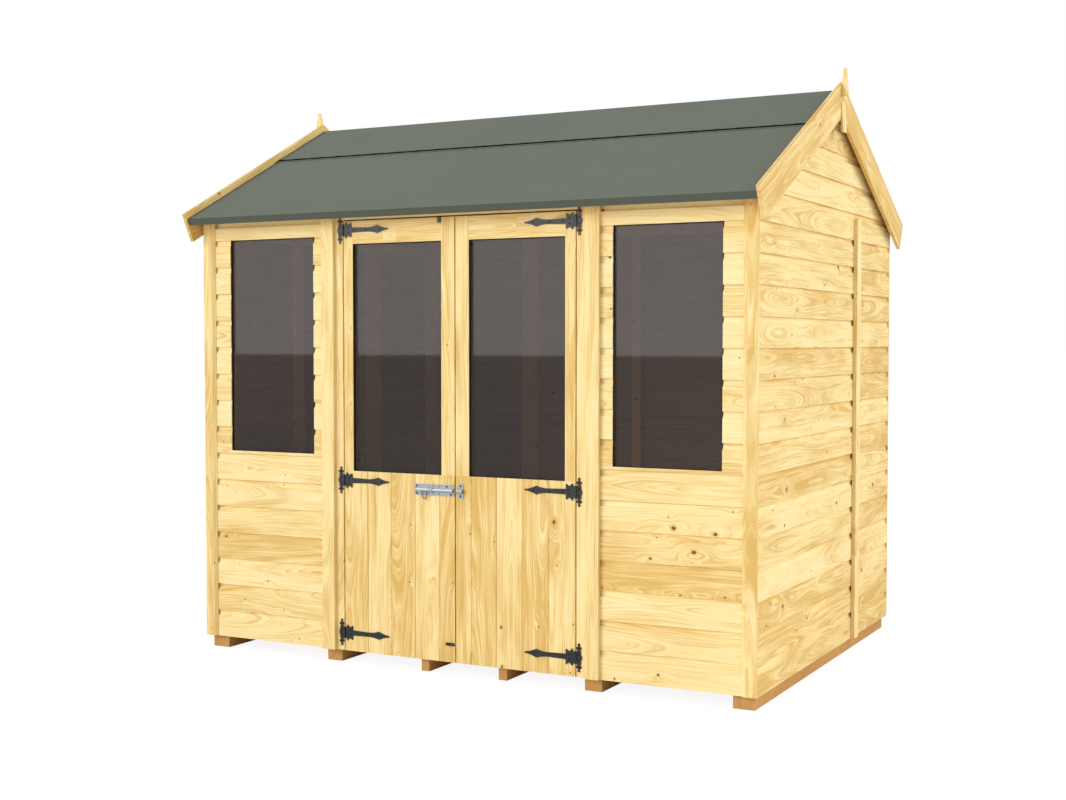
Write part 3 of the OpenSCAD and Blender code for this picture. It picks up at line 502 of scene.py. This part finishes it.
def uneven(name, scale, detail, dark, pale, rough, specular=0.5, lumps=None):
    """A material whose colour drifts between two. lumps are its bumps, as (strength, depth)."""
    mat, tree = new_material(name)
    drift = add(tree, "TexNoise", {
        "Vector": object_coords(tree), "Scale": scale, "Detail": detail})
    colour = add(tree, "Mix", {0: drift, 6: rgb(dark), 7: rgb(pale)}, 2, data_type="RGBA")
    looks = {"Base Color": colour, "Roughness": rough, "Specular IOR Level": specular}
    if lumps:
        looks["Normal"] = add(tree, "Bump", {
            "Strength": lumps[0], "Distance": lumps[1], "Height": drift})
    return finish_material(mat, add(tree, "BsdfPrincipled", looks))


def painted_lap_shadow():
    """A black bead along a lap in the felt, as painted shadow under the ridge felt's lower edge:
    nearly matt, with small lumps.
    """
    return uneven("Painted lap shadow", 160.0, 2.0, "#080a0a", "#141715", 0.9, 0.04, (0.4, 0.0006))


def tape_and_reveal_shade():
    """Black glazing tape round a pane: dull, with a slightly uneven face. It lines most of the
    reveal, so that its black is also painted shade there.
    """
    return uneven("Glazing tape and painted reveal shade", 130.0, 2.0, "#17161d", "#25242c", 0.6, lumps=(0.2, 0.0004))


def blackened_steel():
    """Blackened steel screws: darker and duller than the powder coat."""
    return uneven("Blackened screws", 500.0, 1.0, "#0d0e10", "#1c1d1f", 0.6)


def timber_in_hole():
    """Timber at the bottom of an empty screw hole: brown, as it lies in shadow."""
    return uneven("Timber in a screw hole", 700.0, 1.0, "#5d4a30", "#8a6d43", 0.8)


def acrylic_sheet(settings):
    """Acrylic sheet: it mirrors the sky, more so at a slant, and darkens the inside a little."""
    mat, tree = new_material("Acrylic sheet")
    facing = add(tree, "LayerWeight", {"Blend": 0.5}, 1)
    grazing = add(tree, "Math", {0: facing, 1: 5.0}, operation="POWER")
    # seen straight on, the two faces of a sheet mirror 4.4 % each
    shine = add(tree, "MapRange", {0: grazing, 1: 0.0, 2: 1.0, 3: 0.088, 4: 1.0})
    through = add(tree, "BsdfTransparent", {"Color": settings.pane_tint})
    mirror = add(tree, "BsdfPrincipled", {
        "Base Color": rgb("#f2f2f4"), "Roughness": 0.02, "Metallic": 0.8})
    return finish_material(mat, add(tree, "MixShader", {0: shine, 1: through, 2: mirror}))


def powder_coat(settings):
    """Mild steel under a satin black powder coat: orange-peel texture and soft reflections."""
    mat, tree = new_material("Black powder coat")
    coords = object_coords(tree)
    peel = add(tree, "TexNoise", {"Vector": coords, "Scale": 900.0, "Detail": 1.0})
    wear = add(tree, "TexNoise", {"Vector": coords, "Scale": 60.0, "Detail": 3.0})
    worn = add(tree, "MapRange", {0: wear, 1: 0.35, 2: 0.7, 3: 0.0, 4: 1.0})
    colour = add(tree, "Mix", {0: worn, 6: settings.coat, 7: rgb("#24272a")}, 2,
                 data_type="RGBA")
    rough = add(tree, "MapRange", {0: wear, 1: 0.3, 2: 0.7, 3: 0.28, 4: 0.36})
    bump = add(tree, "Bump", {"Strength": 0.12, "Distance": 0.0002, "Height": peel})
    shader = add(tree, "BsdfPrincipled", {
        "Base Color": colour, "Roughness": rough, "Specular IOR Level": 1.0, "IOR": 1.65,
        "Normal": bump})
    return finish_material(mat, shader)


def zinc_plate(settings):
    """Zinc-plated sheet: blue-grey and nearly matt, with fine rolling lines along the plate."""
    mat, tree = new_material("Zinc plate")
    coords = object_coords(tree)
    lines = add(tree, "VectorMath", {0: coords, 1: (12.0, 400.0, 400.0)}, operation="MULTIPLY")
    lines = add(tree, "TexNoise", {"Vector": lines, "Scale": 1.0, "Detail": 2.0})
    colour = add(tree, "Mix", {0: lines, 6: settings.zinc, 7: rgb("#c6ccd4")}, 2,
                 data_type="RGBA")
    rough = add(tree, "MapRange", {0: lines, 1: 0.3, 2: 0.7, 3: 0.38, 4: 0.48})
    shader = add(tree, "BsdfPrincipled", {
        "Base Color": colour, "Roughness": rough, "Metallic": 0.4})
    return finish_material(mat, shader)


def bright_rod():
    """Bright drawn rod, polished by sliding, and its loop, which hangs below the rod and is
    coloured darker.
    """
    mat, tree = new_material("Bright rod and wire loop")
    coords = object_coords(tree)
    drawn = add(tree, "VectorMath", {0: coords, 1: (12.0, 900.0, 900.0)}, operation="MULTIPLY")
    drawn = add(tree, "TexNoise", {"Vector": drawn, "Scale": 1.0, "Detail": 2.0})
    colour = add(tree, "Mix", {0: drawn, 6: rgb("#eceef0"), 7: rgb("#fafbfc")}, 2,
                 data_type="RGBA")
    # darker below the rod's underside, where the loop hangs
    z = add(tree, "VectorMath", {0: coords, 1: Z}, 1, operation="DOT_PRODUCT")
    below = add(tree, "Math", {0: z, 1: ROD_UNDERSIDE}, operation="LESS_THAN")
    colour = add(tree, "Mix", {0: below, 6: colour, 7: rgb("#85888c")}, 2, data_type="RGBA")
    rough = add(tree, "MapRange", {0: drawn, 1: 0.3, 2: 0.7, 3: 0.16, 4: 0.24})
    shader = add(tree, "BsdfPrincipled", {
        "Base Color": colour, "Roughness": rough, "Metallic": 0.7})
    return finish_material(mat, shader)


# -------------------- mesh helpers


def put(name, bm, material, body, smooth=False):
    """Closes a bmesh into an object at the origin that rides on a body."""
    bmesh.ops.recalc_face_normals(bm, faces=bm.faces)
    mesh = bpy.data.meshes.new(name)
    bm.to_mesh(mesh)
    bm.free()
    for polygon in mesh.polygons:
        polygon.use_smooth = smooth
    mesh.materials.append(material)
    obj = bpy.data.objects.new(name, mesh)
    bpy.context.scene.collection.objects.link(obj)
    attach(obj, body)


def opening_liner(bm, lo, hi, front, back, thick):
    """A frame of thickness thick inside an opening, from depth front to depth back."""
    rings = []
    for inset in (0.0, thick):
        left, bottom, right, top = lo.x + inset, lo.z + inset, hi.x - inset, hi.z - inset
        corners = ((left, bottom), (right, bottom), (right, top), (left, top))
        verts = [bm.verts.new((x, front, z)) for x, z in corners]
        rings += [bm.edges.new((verts[k], verts[(k + 1) % 4])) for k in range(4)]
    made = bmesh.ops.bridge_loops(bm, edges=rings)
    out = bmesh.ops.extrude_face_region(bm, geom=made["faces"])
    moved = [v for v in out["geom"] if isinstance(v, bmesh.types.BMVert)]
    bmesh.ops.translate(bm, verts=moved, vec=(0, back - front, 0))


def screw_head(bm, spot, radius, turn):
    """A domed head with a sunk middle, facing -Y at spot and turned by an angle."""
    made = bmesh.ops.create_cone(bm, cap_ends=True, segments=20, radius1=radius,
                                 radius2=radius * 0.55, depth=radius * 0.5)
    verts = set(made["verts"])
    cap = max({f for v in verts for f in v.link_faces}, key=lambda f: f.calc_center_median().z)
    recess = bmesh.ops.inset_region(bm, faces=[cap], thickness=radius * 0.18, depth=0)
    bmesh.ops.translate(bm, verts=list(cap.verts), vec=(0, 0, -radius * 0.3))
    verts |= {v for f in recess["faces"] for v in f.verts} | set(cap.verts)
    for angle, axis in ((turn, "Z"), (math.pi / 2, "X")):
        bmesh.ops.rotate(bm, verts=list(verts), matrix=Matrix.Rotation(angle, 3, axis))
    bmesh.ops.translate(bm, verts=list(verts), vec=Vector(spot) - Vector((0, radius * 0.2, 0)))


def low_dome(bm, spot, radius, height):
    """A low dome facing -Y at spot: the head of a rivet or, nearly flat, the foot of a hole."""
    made = bmesh.ops.create_cone(bm, cap_ends=True, segments=16, radius1=radius,
                                 radius2=radius * 0.6, depth=height)
    turn = Matrix.Rotation(math.pi / 2, 3, "X")
    bmesh.ops.rotate(bm, verts=made["verts"], matrix=turn)
    bmesh.ops.translate(bm, verts=made["verts"], vec=Vector(spot) - Vector((0, height * 0.4, 0)))


def shadow_bead_along_lap(bm, side):
    """A closed bead over the lower edge of the ridge felt on one slope, uneven along its length;
    it carries the painted shadow under that edge.
    """
    steps = 240
    # the bead's section, as (distance down the slope from the edge, height over the lower felt)
    profile = ((-0.018, FELT_STEP - 0.0003), (-0.012, FELT_STEP + 0.0016),
               (-0.004, FELT_STEP + 0.0022), (0.003, FELT_STEP - 0.0002), (0.008, -0.0004))
    rows = len(profile) - 1
    made = bmesh.ops.create_grid(bm, x_segments=steps, y_segments=rows, size=0.5)
    down = Vector((0, side * math.cos(ROOF_PITCH), -math.sin(ROOF_PITCH)))
    out = Vector((0, side * math.sin(ROOF_PITCH), math.cos(ROOF_PITCH)))
    for vert in made["verts"]:
        x, row = vert.co.x * 2 * LAP_END, round((vert.co.y + 0.5) * rows)
        along, rise = profile[row]
        spread = 1.0 + 0.10 * math.sin(x * 61.0) + 0.07 * math.sin(x * 137.0 + side)
        spot = down * (LAP_DOWN + along * spread)
        vert.co = Vector((x, 0, FELT_TOP)) + spot + out * rise
    rim = {e for v in made["verts"] for e in v.link_edges if e.is_boundary}
    ends = [e for e in rim if abs(e.verts[0].co.x - e.verts[1].co.x) < 1e-6]
    under = bmesh.ops.bridge_loops(bm, edges=list(rim.difference(ends)))
    bmesh.ops.holes_fill(bm, edges=ends + under["edges"], sides=len(profile))


# -------------------- properties


def colour_property(name, description, code):
    return FloatVectorProperty(name=name, description=description, default=rgb(code), size=4,
                               min=0.0, max=1.0, subtype="COLOR")


def timber_colour(kind, part, code):
    return colour_property(f"{kind}, {part}", f"{kind} timber: colour of its {part}", code)


class TimberSettings(bpy.types.PropertyGroup):
    planed_light: timber_colour("Planed", "palest wood", "#fff4c6")
    planed_mid: timber_colour("Planed", "middle tone", "#fbe1a0")
    planed_dark: timber_colour("Planed", "darkest wood", "#e0b869")
    planed_knot: timber_colour("Planed", "knots", "#8a5c2a")
    sawn_light: timber_colour("Sawn", "palest wood", "#fbe3a4")
    sawn_mid: timber_colour("Sawn", "middle tone", "#efcf88")
    sawn_dark: timber_colour("Sawn", "darkest wood", "#d9ab5c")
    sawn_knot: timber_colour("Sawn", "knots", "#7a4c20")
    treated_light: timber_colour("Treated", "palest wood", "#d2a062")
    treated_mid: timber_colour("Treated", "middle tone", "#c39256")
    treated_dark: timber_colour("Treated", "darkest wood", "#ab7b42")
    treated_knot: timber_colour("Treated", "knots", "#6a431f")
    inner_shade: colour_property(
        "Inner faces", "What the cladding's rough inner faces are multiplied by", "#b9b2a6")


class FittingSettings(bpy.types.PropertyGroup):
    felt_dark: colour_property("Felt, darkest", "Darkest grit of the felt", "#62675d")
    felt_pale: colour_property("Felt, palest", "Palest grit of the felt", "#7a7f74")
    pane_tint: colour_property("Pane tint", "What is left of light that passes a pane", "#dfd8d3")
    coat: colour_property("Coat", "Powder coat of the hinges and catches", "#191c1f")
    zinc: colour_property("Zinc", "Zinc plating of the bolt and its keeper", "#b6bdc7")
    screw_radius: FloatProperty(
        name="Screw radius", description="Radius of the screw heads on the hinges",
        default=0.0034, min=0.001, subtype="DISTANCE", unit="LENGTH")
    bolt_screw_radius: FloatProperty(
        name="Bolt screw radius", description="Radius of the screw heads on the bolt",
        default=0.0041, min=0.001, subtype="DISTANCE", unit="LENGTH")
    tape_width: FloatProperty(
        name="Tape width", description="Thickness of the tape that lines the glazing",
        default=0.0022, min=0.0005, subtype="DISTANCE", unit="LENGTH")


class StudioSettings(bpy.types.PropertyGroup):
    room_light: FloatProperty(
        name="Room light", description="Level of the even light from all sides",
        default=0.55, min=0.0, soft_max=2.0)
    front_light: FloatProperty(
        name="Front light", description="Strength of the soft light on the long front",
        default=1.74, min=0.0, soft_max=10.0)
    side_light: FloatProperty(
        name="Side light", description="Strength of the soft light on the right gable",
        default=1.87, min=0.0, soft_max=10.0)
    softness: FloatProperty(
        name="Softness", description="Angle across which each of the two lights comes",
        default=math.radians(40), subtype="ANGLE", unit="ROTATION")
    floor_light: FloatProperty(
        name="Floor light", description="Share of the light that the floor throws back",
        default=0.8, min=0.0, max=1.0, subtype="FACTOR")
    floor_mirrored: FloatProperty(
        name="Floor in reflections", description="Level of the floor as glass and metal mirror it",
        default=0.22, min=0.0, max=1.0, subtype="FACTOR")


# -------------------- operators


class CladdingOperator(bpy.types.Operator):
    """Gives the walls their shiplap"""

    bl_idname = "summerhouse.cladding"
    bl_label = "Cladding"

    def execute(self, context):
        courses = {"step": (0.0, 0.0, 1.0 / COURSE), "start": WALL_BOTTOM / COURSE}
        front = {"inner": (Y, -FRONT_FACE - CLAD_T + 0.0002), "picked": (0, FRONT_TONES)}
        gable = {"inner": (X, GABLE_FACE - CLAD_T + 0.0002),
                 "picked": (0, GABLE_TONES, (Y, GABLE_JOINT), GABLE_REAR_TONES)}
        dress(timber("Shiplap front", X, (0.0, 1.0, 1.0), joints=[(X, 0.0)], **courses, **front),
              "front_left_wall", "front_right_wall")
        dress(timber("Shiplap back", X, (0.0, 1.0, 1.0), seed=200.0,
                     joints=[(X, -BACK_JOINT), (X, BACK_JOINT)], **courses, **front),
              "back_wall")
        dress(timber("Shiplap gable", Y, (1.0, 0.0, 1.0), seed=400.0, contrast=0.34,
                     joints=[(Y, GABLE_JOINT), (X, 0.0)], **courses, **gable),
              "left_gable_wall", "right_gable_wall")
        return {"FINISHED"}


class TrimOperator(bpy.types.Operator):
    """Gives the strips, posts, finials and bargeboards their timber"""

    bl_idname = "summerhouse.trim"
    bl_label = "Strips, posts and bargeboards"

    def execute(self, context):
        for name, tone, seed, nodes in (
                ("Corner strips", 0.62, 31.0, ("front_corner_strips", "back_corner_strips")),
                ("Cover strips", 0.45, 36.0, ("door_cover_strips", "panel_cover_strips")),
                ("Posts and finials", 0.5, 41.0, ("door_posts", "left_finial", "right_finial"))):
            dress(timber(name, Z, (1.0, 1.0, 0.0), (7.3, 5.1, 0.0), knots=0.2, contrast=0.3,
                         tone=tone, seed=seed), *nodes)
        dress(timber("Door head", X, (0.0, 1.0, 1.0), X, middle=0.9, knots=0.2, seed=55.0),
              "door_head")
        dress(timber("Bargeboards", DOWN_BARGE, ACROSS_BARGE, (0.001, 0.0, 0.0), fold=True,
                     joints=[(Y, 0.0), (X, 0.0)], middle=BARGE_MIDDLE, knots=0.4, contrast=0.36,
                     tone=0.75, seed=150.0, line=(BARGE_MIDDLE + BARGE_HALF, BARGE_LINE_X)),
              "front_left_barge", "back_left_barge", "front_right_barge", "back_right_barge")
        return {"FINISHED"}


class DoorOperator(bpy.types.Operator):
    """Gives the door leaves their matchboards, stiles and rails"""

    bl_idname = "summerhouse.doors"
    bl_label = "Doors"

    def execute(self, context):
        # a leaf's boards are counted from -1, at the middle of the doorway
        for side, sign, tones in (("right", 1.0, RIGHT_LEAF_TONES),
                                  ("left", -1.0, LEFT_LEAF_TONES)):
            dress(timber(f"Matchboards {side}", Z, (1.0, 1.0, 0.0), (sign / MATCHBOARD, 0.0, 0.0),
                         MATCHBOARD_EDGE / MATCHBOARD, knots=0.6, contrast=0.4,
                         seed=70.0 + 20 * sign, picked=(-1, tones)),
                  f"{side}_door_boards")
        dress(timber("Door stiles and rails", Z, (1.0, 1.0, 0.0), (3.1, 0.0, 0.0),
                     rail=(RAIL_START, RAIL_END, RAIL_BOTTOM), knots=0.2, contrast=0.4, tone=0.6,
                     seed=120.0),
              "left_door_frame", "right_door_frame")
        return {"FINISHED"}


class FramingOperator(bpy.types.Operator):
    """Gives the framing, roof, floor and bearers their timber"""

    bl_idname = "summerhouse.framing"
    bl_label = "Framing, roof and floor"

    def execute(self, context):
        dress(timber("Front framing", Z, (1.0, 1.0, 0.0), (3.1, 2.7, 0.0), tone=0.1, seed=290.0,
                     rail=(0.0, GABLE_FACE, WINDOW_HEADS)), "front_frames")
        dress(timber("Sawn framing", Z, (1.0, 1.0, 0.0), (3.1, 2.7, 0.0), finish="sawn",
                     seed=300.0), "back_frame", "left_gable_frame", "right_gable_frame")
        for name, across, per_metre, seed, nodes in (
                ("Sawn purlins", (0.0, 1.0, 1.0), 3.0, 330.0, ("roof_purlins",)),
                ("Roof boards", (0.0, 1.0, 0.6), 10.3, 350.0,
                 ("front_roof_boards", "back_roof_boards", "eaves_battens")),
                ("Floor boards", (0.0, 1.0, 1.0), 8.85, 500.0, ("floor_boards",))):
            dress(timber(name, X, across, (0.0, per_metre, 0.0), finish="sawn", seed=seed),
                  *nodes)
        dress(timber("Treated bearers", Y, (1.0, 0.0, 1.0), (5.0, 0.0, 0.0), finish="treated",
                     knots=0.2, contrast=0.3, tone=0.15, seed=600.0), "bearers")
        return {"FINISHED"}


class FeltOperator(bpy.types.Operator):
    """Covers the roof with mineral felt, and lays a black bead along its laps as painted shadow"""

    bl_idname = "summerhouse.felt"
    bl_label = "Roof felt"

    def execute(self, context):
        dress(mineral_felt(context.scene.summerhouse_fittings),
              "front_felt", "back_felt", "ridge_felt")
        # a black bead along each lap paints the shadow under the lower edge of the ridge felt
        bm = bmesh.new()
        for side in (-1, 1):
            shadow_bead_along_lap(bm, side)
        put("lap_shadow_bead", bm, painted_lap_shadow(), "root", smooth=True)
        return {"FINISHED"}


class GlazingOperator(bpy.types.Operator):
    """Finishes the panes and lines their openings with tape"""

    bl_idname = "summerhouse.glazing"
    bl_label = "Glazing"

    def execute(self, context):
        settings = context.scene.summerhouse_fittings
        dress(acrylic_sheet(settings), "left_window_glass", "right_window_glass",
              "left_door_glass", "right_door_glass")
        tape = tape_and_reveal_shade()
        lap = Vector((GLASS_LAP, 0, GLASS_LAP))
        # depth is how far the tape stands out in front of the pane, most of the way to the face,
        # so that it also paints the reveal's shade
        for pane, body, depth in (
                ("left_window", "root", 0.0103), ("right_window", "root", 0.0103),
                ("left_door", "left_door", 0.0133), ("right_door", "right_door", 0.0133)):
            lo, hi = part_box(pane + "_glass")
            bm = bmesh.new()
            opening_liner(bm, lo + lap, hi - lap, lo.y - depth, lo.y - 0.0002,
                          settings.tape_width)
            put(pane + "_tape_and_reveal_shade", bm, tape, body)
        return {"FINISHED"}


class HingeOperator(bpy.types.Operator):
    """Finishes the hinges and catches, and adds the hinges' screws"""

    bl_idname = "summerhouse.hinges"
    bl_label = "Hinges"

    def execute(self, context):
        settings = context.scene.summerhouse_fittings
        dress(powder_coat(settings), "post_hinge_plates", "left_door_hinges",
              "right_door_hinges", "door_catches")
        screws = blackened_steel()
        lo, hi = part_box("right_door_hinges")
        over_panel = high("right_door_boards").z - PANEL_TO_HINGE
        heights = (lo.z + HINGE_HALF, over_panel, hi.z - HINGE_HALF)
        for side, sign in (("left", -1.0), ("right", 1.0)):
            bm = bmesh.new()
            for k, z in enumerate(heights):
                for n, (reach, rise) in enumerate(STRAP_SCREWS):
                    spot = (sign * (PIN_X - reach), STRAP_FACE, z + rise)
                    screw_head(bm, spot, settings.screw_radius, k + n * 0.7)
            put(f"{side}_strap_screws", bm, screws, f"{side}_door")
        bm = bmesh.new()
        for sign in (-1.0, 1.0):
            for k, z in enumerate(heights):
                for n, rise in enumerate(POST_SCREWS):
                    spot = (sign * (PIN_X + POST_SCREW_OUT), STRAP_FACE, z + rise)
                    screw_head(bm, spot, settings.screw_radius, k + n * 0.9)
        put("post_plate_screws", bm, screws, "root")
        return {"FINISHED"}


class BoltOperator(bpy.types.Operator):
    """Finishes the bolt and its keeper, and adds their screws, holes and rivets"""

    bl_idname = "summerhouse.bolt"
    bl_label = "Bolt"

    def execute(self, context):
        settings = context.scene.summerhouse_fittings
        zinc = zinc_plate(settings)
        screws = bpy.data.materials.get("Blackened screws") or blackened_steel()
        dress(zinc, "bolt_plate", "bolt_keeper")
        dress(bright_rod(), "bolt_rod")
        end = high("bolt_plate").x
        bm = bmesh.new()
        for turn, (back, rise) in enumerate(BOLT_SCREWS):
            spot = (end - back, BOLT_FACE, ROD_Z + rise)
            screw_head(bm, spot, settings.bolt_screw_radius, turn)
        put("bolt_plate_screws", bm, screws, "left_door")
        bm = bmesh.new()
        for back, rise in BOLT_HOLES:
            low_dome(bm, (end - back, BOLT_FACE, ROD_Z + rise), HOLE_RADIUS, 0.0004)
        put("bolt_plate_holes", bm, timber_in_hole(), "left_door")
        bm = bmesh.new()
        for back, rise in STAPLE_RIVETS:
            low_dome(bm, (end - back, STAPLE_FACE, ROD_Z + rise), RIVET_RADIUS, 0.0012)
        put("bolt_staple_rivets", bm, zinc, "left_door")
        lo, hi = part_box("bolt_keeper")
        bm = bmesh.new()
        for turn, z in enumerate((lo.z + KEEPER_SCREW_IN, hi.z - KEEPER_SCREW_IN)):
            spot = ((lo.x + hi.x) / 2, BOLT_FACE, z)
            screw_head(bm, spot, settings.bolt_screw_radius, turn)
        put("bolt_keeper_screws", bm, screws, "right_door")
        return {"FINISHED"}


class StageOperator(bpy.types.Operator):
    """Sets the floor, the lights and the camera"""

    bl_idname = "summerhouse.stage"
    bl_label = "Studio"

    def execute(self, context):
        context.scene.view_settings.view_transform = "Standard"
        settings = context.scene.summerhouse_studio
        self.lay_floor(context.scene, settings)
        self.light_room(context.scene, settings)
        self.hang_lights(context.scene, settings)
        self.place_camera(context.scene)
        return {"FINISHED"}

    def lay_floor(self, scene, settings):
        """A floor that the camera sees as white, with a soft shadow, and that lights the part."""
        bm = bmesh.new()
        bmesh.ops.create_grid(bm, x_segments=1, y_segments=1, size=FLOOR_HALF)
        mesh = bpy.data.meshes.new("studio_floor")
        bm.to_mesh(mesh)
        bm.free()
        floor = bpy.data.objects.new("studio_floor", mesh)
        scene.collection.objects.link(floor)
        mat, tree = new_material("Studio floor")
        rays = add(tree, "LightPath", output=None).outputs
        back = settings.floor_light
        lit = add(tree, "BsdfDiffuse", {"Color": (back, back, back, 1.0)})
        veil = add(tree, "BsdfDiffuse", {"Color": (0.16, 0.16, 0.16, 1.0)})
        glow = add(tree, "Emission", {"Color": (1.0, 1.0, 1.0, 1.0), "Strength": 0.9})
        white = add(tree, "AddShader", {0: veil, 1: glow})
        seen = add(tree, "Math", {0: rays["Is Camera Ray"], 1: rays["Is Transmission Ray"]},
                   operation="MAXIMUM")
        shader = add(tree, "MixShader", {0: seen, 1: lit, 2: white})
        dim = add(tree, "Emission", {
            "Color": (1.0, 1.0, 1.0, 1.0), "Strength": settings.floor_mirrored})
        finish_material(mat, add(tree, "MixShader", {0: rays["Is Glossy Ray"], 1: shader, 2: dim}))
        floor.data.materials.append(mat)

    def light_room(self, scene, settings):
        """An even white room, brighter to the camera, glass and metal than to the timber."""
        world = bpy.data.worlds.new("Studio")
        world.use_nodes = True
        tree = world.node_tree
        tree.nodes.clear()
        rays = add(tree, "LightPath", output=None).outputs
        seen = rays["Is Camera Ray"]
        for name in ("Is Glossy Ray", "Is Transmission Ray"):
            seen = add(tree, "Math", {0: seen, 1: rays[name]}, operation="MAXIMUM")
        level = add(tree, "Mix", {0: seen, 2: settings.room_light, 3: 1.0})
        light = add(tree, "Background", {"Color": (1.0, 1.0, 1.0, 1.0), "Strength": level})
        add(tree, "OutputWorld", {"Surface": light}, None)
        scene.world = world

    def hang_lights(self, scene, settings):
        """Two wide soft lights, of which the panes and the metal mirror nothing."""
        for name, level, side in (("front", settings.front_light, (-0.50, -0.78, 0.38)),
                                  ("side", settings.side_light, (0.72, 0.56, 0.40))):
            lamp = bpy.data.lights.new(name, "SUN")
            lamp.energy = level
            lamp.angle = settings.softness
            light = bpy.data.objects.new(name, lamp)
            light.visible_glossy = False
            light.rotation_euler = Vector(side).to_track_quat("Z", "Y").to_euler()
            scene.collection.objects.link(light)

    def place_camera(self, scene):
        """A camera ahead of the right corner, turned left and slightly down."""
        view = bpy.data.cameras.new("camera")
        view.lens = CAMERA_LENS
        view.sensor_width = CAMERA_SENSOR
        camera = bpy.data.objects.new("camera", view)
        camera.location = CAMERA_PLACE
        camera.rotation_euler = (math.pi / 2 - CAMERA_DOWN, 0.0, CAMERA_LEFT)
        scene.collection.objects.link(camera)
        scene.camera = camera


class SummerhousePanel(bpy.types.Panel):
    """Lists the summerhouse's finishes"""

    bl_idname = "VIEW3D_PT_summerhouse"
    bl_label = "Summerhouse"
    bl_space_type = "VIEW_3D"
    bl_region_type = "UI"
    bl_category = "Summerhouse"

    def draw(self, context):
        for group, kind in SETTINGS.items():
            for name in kind.__annotations__:
                self.layout.prop(getattr(context.scene, group), name)
        for operator in OPERATORS:
            self.layout.operator(operator.bl_idname)


SETTINGS = {
    "summerhouse_timber": TimberSettings,
    "summerhouse_fittings": FittingSettings,
    "summerhouse_studio": StudioSettings,
}
OPERATORS = (CladdingOperator, TrimOperator, DoorOperator, FramingOperator, FeltOperator,
             GlazingOperator, HingeOperator, BoltOperator, StageOperator)
CLASSES = (*SETTINGS.values(), *OPERATORS, SummerhousePanel)


def register():
    for cls in CLASSES:
        bpy.utils.register_class(cls)
    for name, group in SETTINGS.items():
        setattr(bpy.types.Scene, name, PointerProperty(type=group))


def unregister():
    for name in SETTINGS:
        delattr(bpy.types.Scene, name)
    for cls in reversed(CLASSES):
        bpy.utils.unregister_class(cls)


def main():
    register()
    bpy.ops.summerhouse.cladding()
    bpy.ops.summerhouse.trim()
    bpy.ops.summerhouse.doors()
    bpy.ops.summerhouse.framing()
    bpy.ops.summerhouse.felt()
    bpy.ops.summerhouse.glazing()
    bpy.ops.summerhouse.hinges()
    bpy.ops.summerhouse.bolt()
    bpy.ops.summerhouse.stage()


if __name__ == "__main__":
    main()
